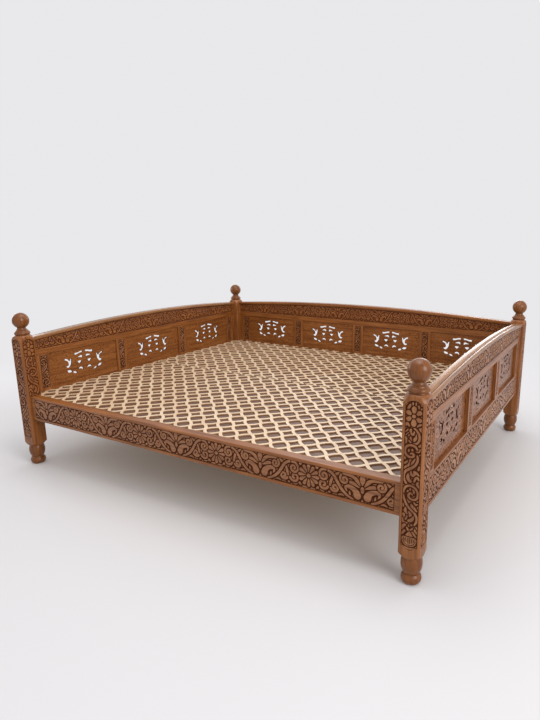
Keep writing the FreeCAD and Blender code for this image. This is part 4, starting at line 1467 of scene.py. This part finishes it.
u, share = field_grid(STRIP_HALF, STRIP_Z[1] - STRIP_Z[0], STRIP_CELL)
v = STRIP_Z[0] + share * (STRIP_Z[1] - STRIP_Z[0])
lift = (v - STRIP_Z[0]) / STRIP_SCALE + STRIP_FROM
strip = framed(POST_PATTERN.sample(u / STRIP_SCALE, lift) * STRIP_SCALE, u, v, STRIP_HALF, *STRIP_Z)
for side in STILE_COUNTS:
    faces = {"outer": face_at(side, FACE_SETBACK),
             "inner": face_at(side, FACE_SETBACK + FENCE_THICKNESS, flipped=True)}
    for number, middle in enumerate(strip_middles(side), 1):
        for looks, face in faces.items():
            place = moved_along(face, middle if looks == "outer" else -middle)
            carved_inlay(f"{side}_strip_{number}_{looks}", u, v, strip, FENCE_RELIEF, place, CARVED["z"])

# %% [markdown]
# The stage is a plain pale floor that runs out into the backdrop. Near the takht it is an ordinary matt
# surface and takes the soft shadow. The brown boards above throw warm light back into that shadow. The
# renderer's own bounces bring part of it, and a faint glow in an oval under the takht adds the rest.
# Further out the floor could end in a curved wall, as in a studio. Here it fades into the backdrop's own
# colour, so no horizon shows. Only the camera sees the glow and the fade, so they light nothing.

# %% The finish of the floor
BACKDROP = swatch(233, 232, 234)
FLOOR_GREY = swatch(210, 208, 210)
BOUNCE = swatch(228, 196, 160)
BOUNCE_SHARE = 0.1
BOUNCE_REACH = (1.0, 1.6)
FADE_REACH = (2.4, 5.0)


def mix_shaders(tree, factor, first, second):
    """The second shader laid over the first."""
    return node(tree, "ShaderNodeMixShader", {0: factor, 1: first, 2: second}).outputs["Shader"]


def near_floor(tree, place, seen):
    """The matt floor with the warm light in the oval under the takht."""
    matt = node(tree, "ShaderNodeBsdfDiffuse", {"Color": FLOOR_GREY}).outputs["BSDF"]
    bounced = node(tree, "ShaderNodeEmission", {"Color": BOUNCE}).outputs["Emission"]
    to_oval = (1 / (HALF_WIDTH * MM), 1 / (HALF_DEPTH * MM), 1)
    spread = vector_arith(tree, "LENGTH", vector_arith(tree, "MULTIPLY", place, to_oval))
    share = remap(tree, spread, BOUNCE_SHARE, 0.0, *BOUNCE_REACH, interpolation_type="SMOOTHSTEP")
    return mix_shaders(tree, arith(tree, "MULTIPLY", share, seen), matt, bounced)


def pale_floor():
    """The whole floor, which fades into the backdrop."""
    material, tree, shader = new_finish("pale_floor")
    tree.nodes.remove(shader)
    place = node(tree, "ShaderNodeTexCoord").outputs["Object"]
    seen = node(tree, "ShaderNodeLightPath").outputs["Is Camera Ray"]
    reach = vector_arith(tree, "LENGTH", place)
    fade = remap(tree, reach, 0.0, 1.0, *FADE_REACH, interpolation_type="SMOOTHSTEP")
    backdrop = node(tree, "ShaderNodeEmission", {"Color": BACKDROP}).outputs["Emission"]
    floor = mix_shaders(tree, arith(tree, "MULTIPLY", fade, seen), near_floor(tree, place, seen), backdrop)
    tree.links.new(floor, tree.nodes["Material Output"].inputs["Surface"])
    return material


print("backdrop", [round(level, 3) for level in BACKDROP[:3]], "as light")

# %% The floor
FLOOR_RADIUS = 60
FLOOR_EDGES = 96

floor_bm = bmesh.new()
bmesh.ops.create_circle(floor_bm, cap_ends=True, segments=FLOOR_EDGES, radius=FLOOR_RADIUS)
floor_mesh = bpy.data.meshes.new("floor")
floor_bm.to_mesh(floor_mesh)
floor_bm.free()
floor_mesh.materials.append(pale_floor())
floor = bpy.data.objects.new("floor", floor_mesh)
scene.collection.objects.link(floor)
print("floor laid")

# %% [markdown]
# The photograph has soft light from all sides and a plain pale backdrop. A picture of a studio could
# light the scene, but a plain world does it too: it shines white and even, while the camera and glossy
# surfaces see the backdrop's colour. Large soft lamps add what is not even: the main light
# from above and the right, a sheen on the right cap and on the deck, and a fill from the left. Colours
# are shown without a film curve, so they come out about as they are written.

# %% The world
WORLD_STRENGTH = 0.75

world = bpy.data.worlds.new("studio")
scene.world = world
world.use_nodes = True
tree = world.node_tree
tree.nodes.clear()
paths = node(tree, "ShaderNodeLightPath").outputs
seen_or_mirrored = arith(tree, "MAXIMUM", paths["Is Camera Ray"], paths["Is Glossy Ray"])
shown = arith(tree, "MAXIMUM", seen_or_mirrored, paths["Is Transmission Ray"])
lighting = node(tree, "ShaderNodeBackground", {"Color": grey(1.0), "Strength": WORLD_STRENGTH})
backdrop = node(tree, "ShaderNodeBackground", {"Color": BACKDROP})
studio = mix_shaders(tree, shown, lighting.outputs["Background"], backdrop.outputs["Background"])
node(tree, "ShaderNodeOutputWorld", {"Surface": studio})
print("world strength", WORLD_STRENGTH)

# %% The lamps
# Name, place and target in metres, width in metres, watts.
LAMPS = [
    ("overhead", (0.2, 0.0, 6.0), (0, 0, 0.5), 5.0, 138),
    ("from the right", (7.6, -3.1, 4.0), (0, 0, 0.5), 4.5, 325),
    ("behind the right cap", (0.15, 5.6, 2.4), (1.4, 0, 0.9), 2.2, 42),
    ("behind the deck", (-2.6, 5.6, 3.9), (0.8, -0.8, 0.5), 2.6, 22),
    ("above the front post", (1.5, -1.6, 5.0), (1.4, -1.2, 1.0), 1.5, 25),
    ("from the left", (-5.6, 0.0, 1.5), (-0.5, 0, 0.2), 2.6, 42),
]


def lamp(name, place, target, size, watts):
    """A large soft panel lamp aimed at a point."""
    data = bpy.data.lights.new(name, "AREA")
    data.shape = "DISK"
    data.size = size
    data.energy = watts
    holder = bpy.data.objects.new(name, data)
    scene.collection.objects.link(holder)
    holder.location = place
    holder.rotation_euler = (Vector(target) - Vector(place)).to_track_quat("-Z", "Y").to_euler()


for row in LAMPS:
    lamp(*row)
scene.view_settings.view_transform = "Standard"
print(len(LAMPS), "lamps set")
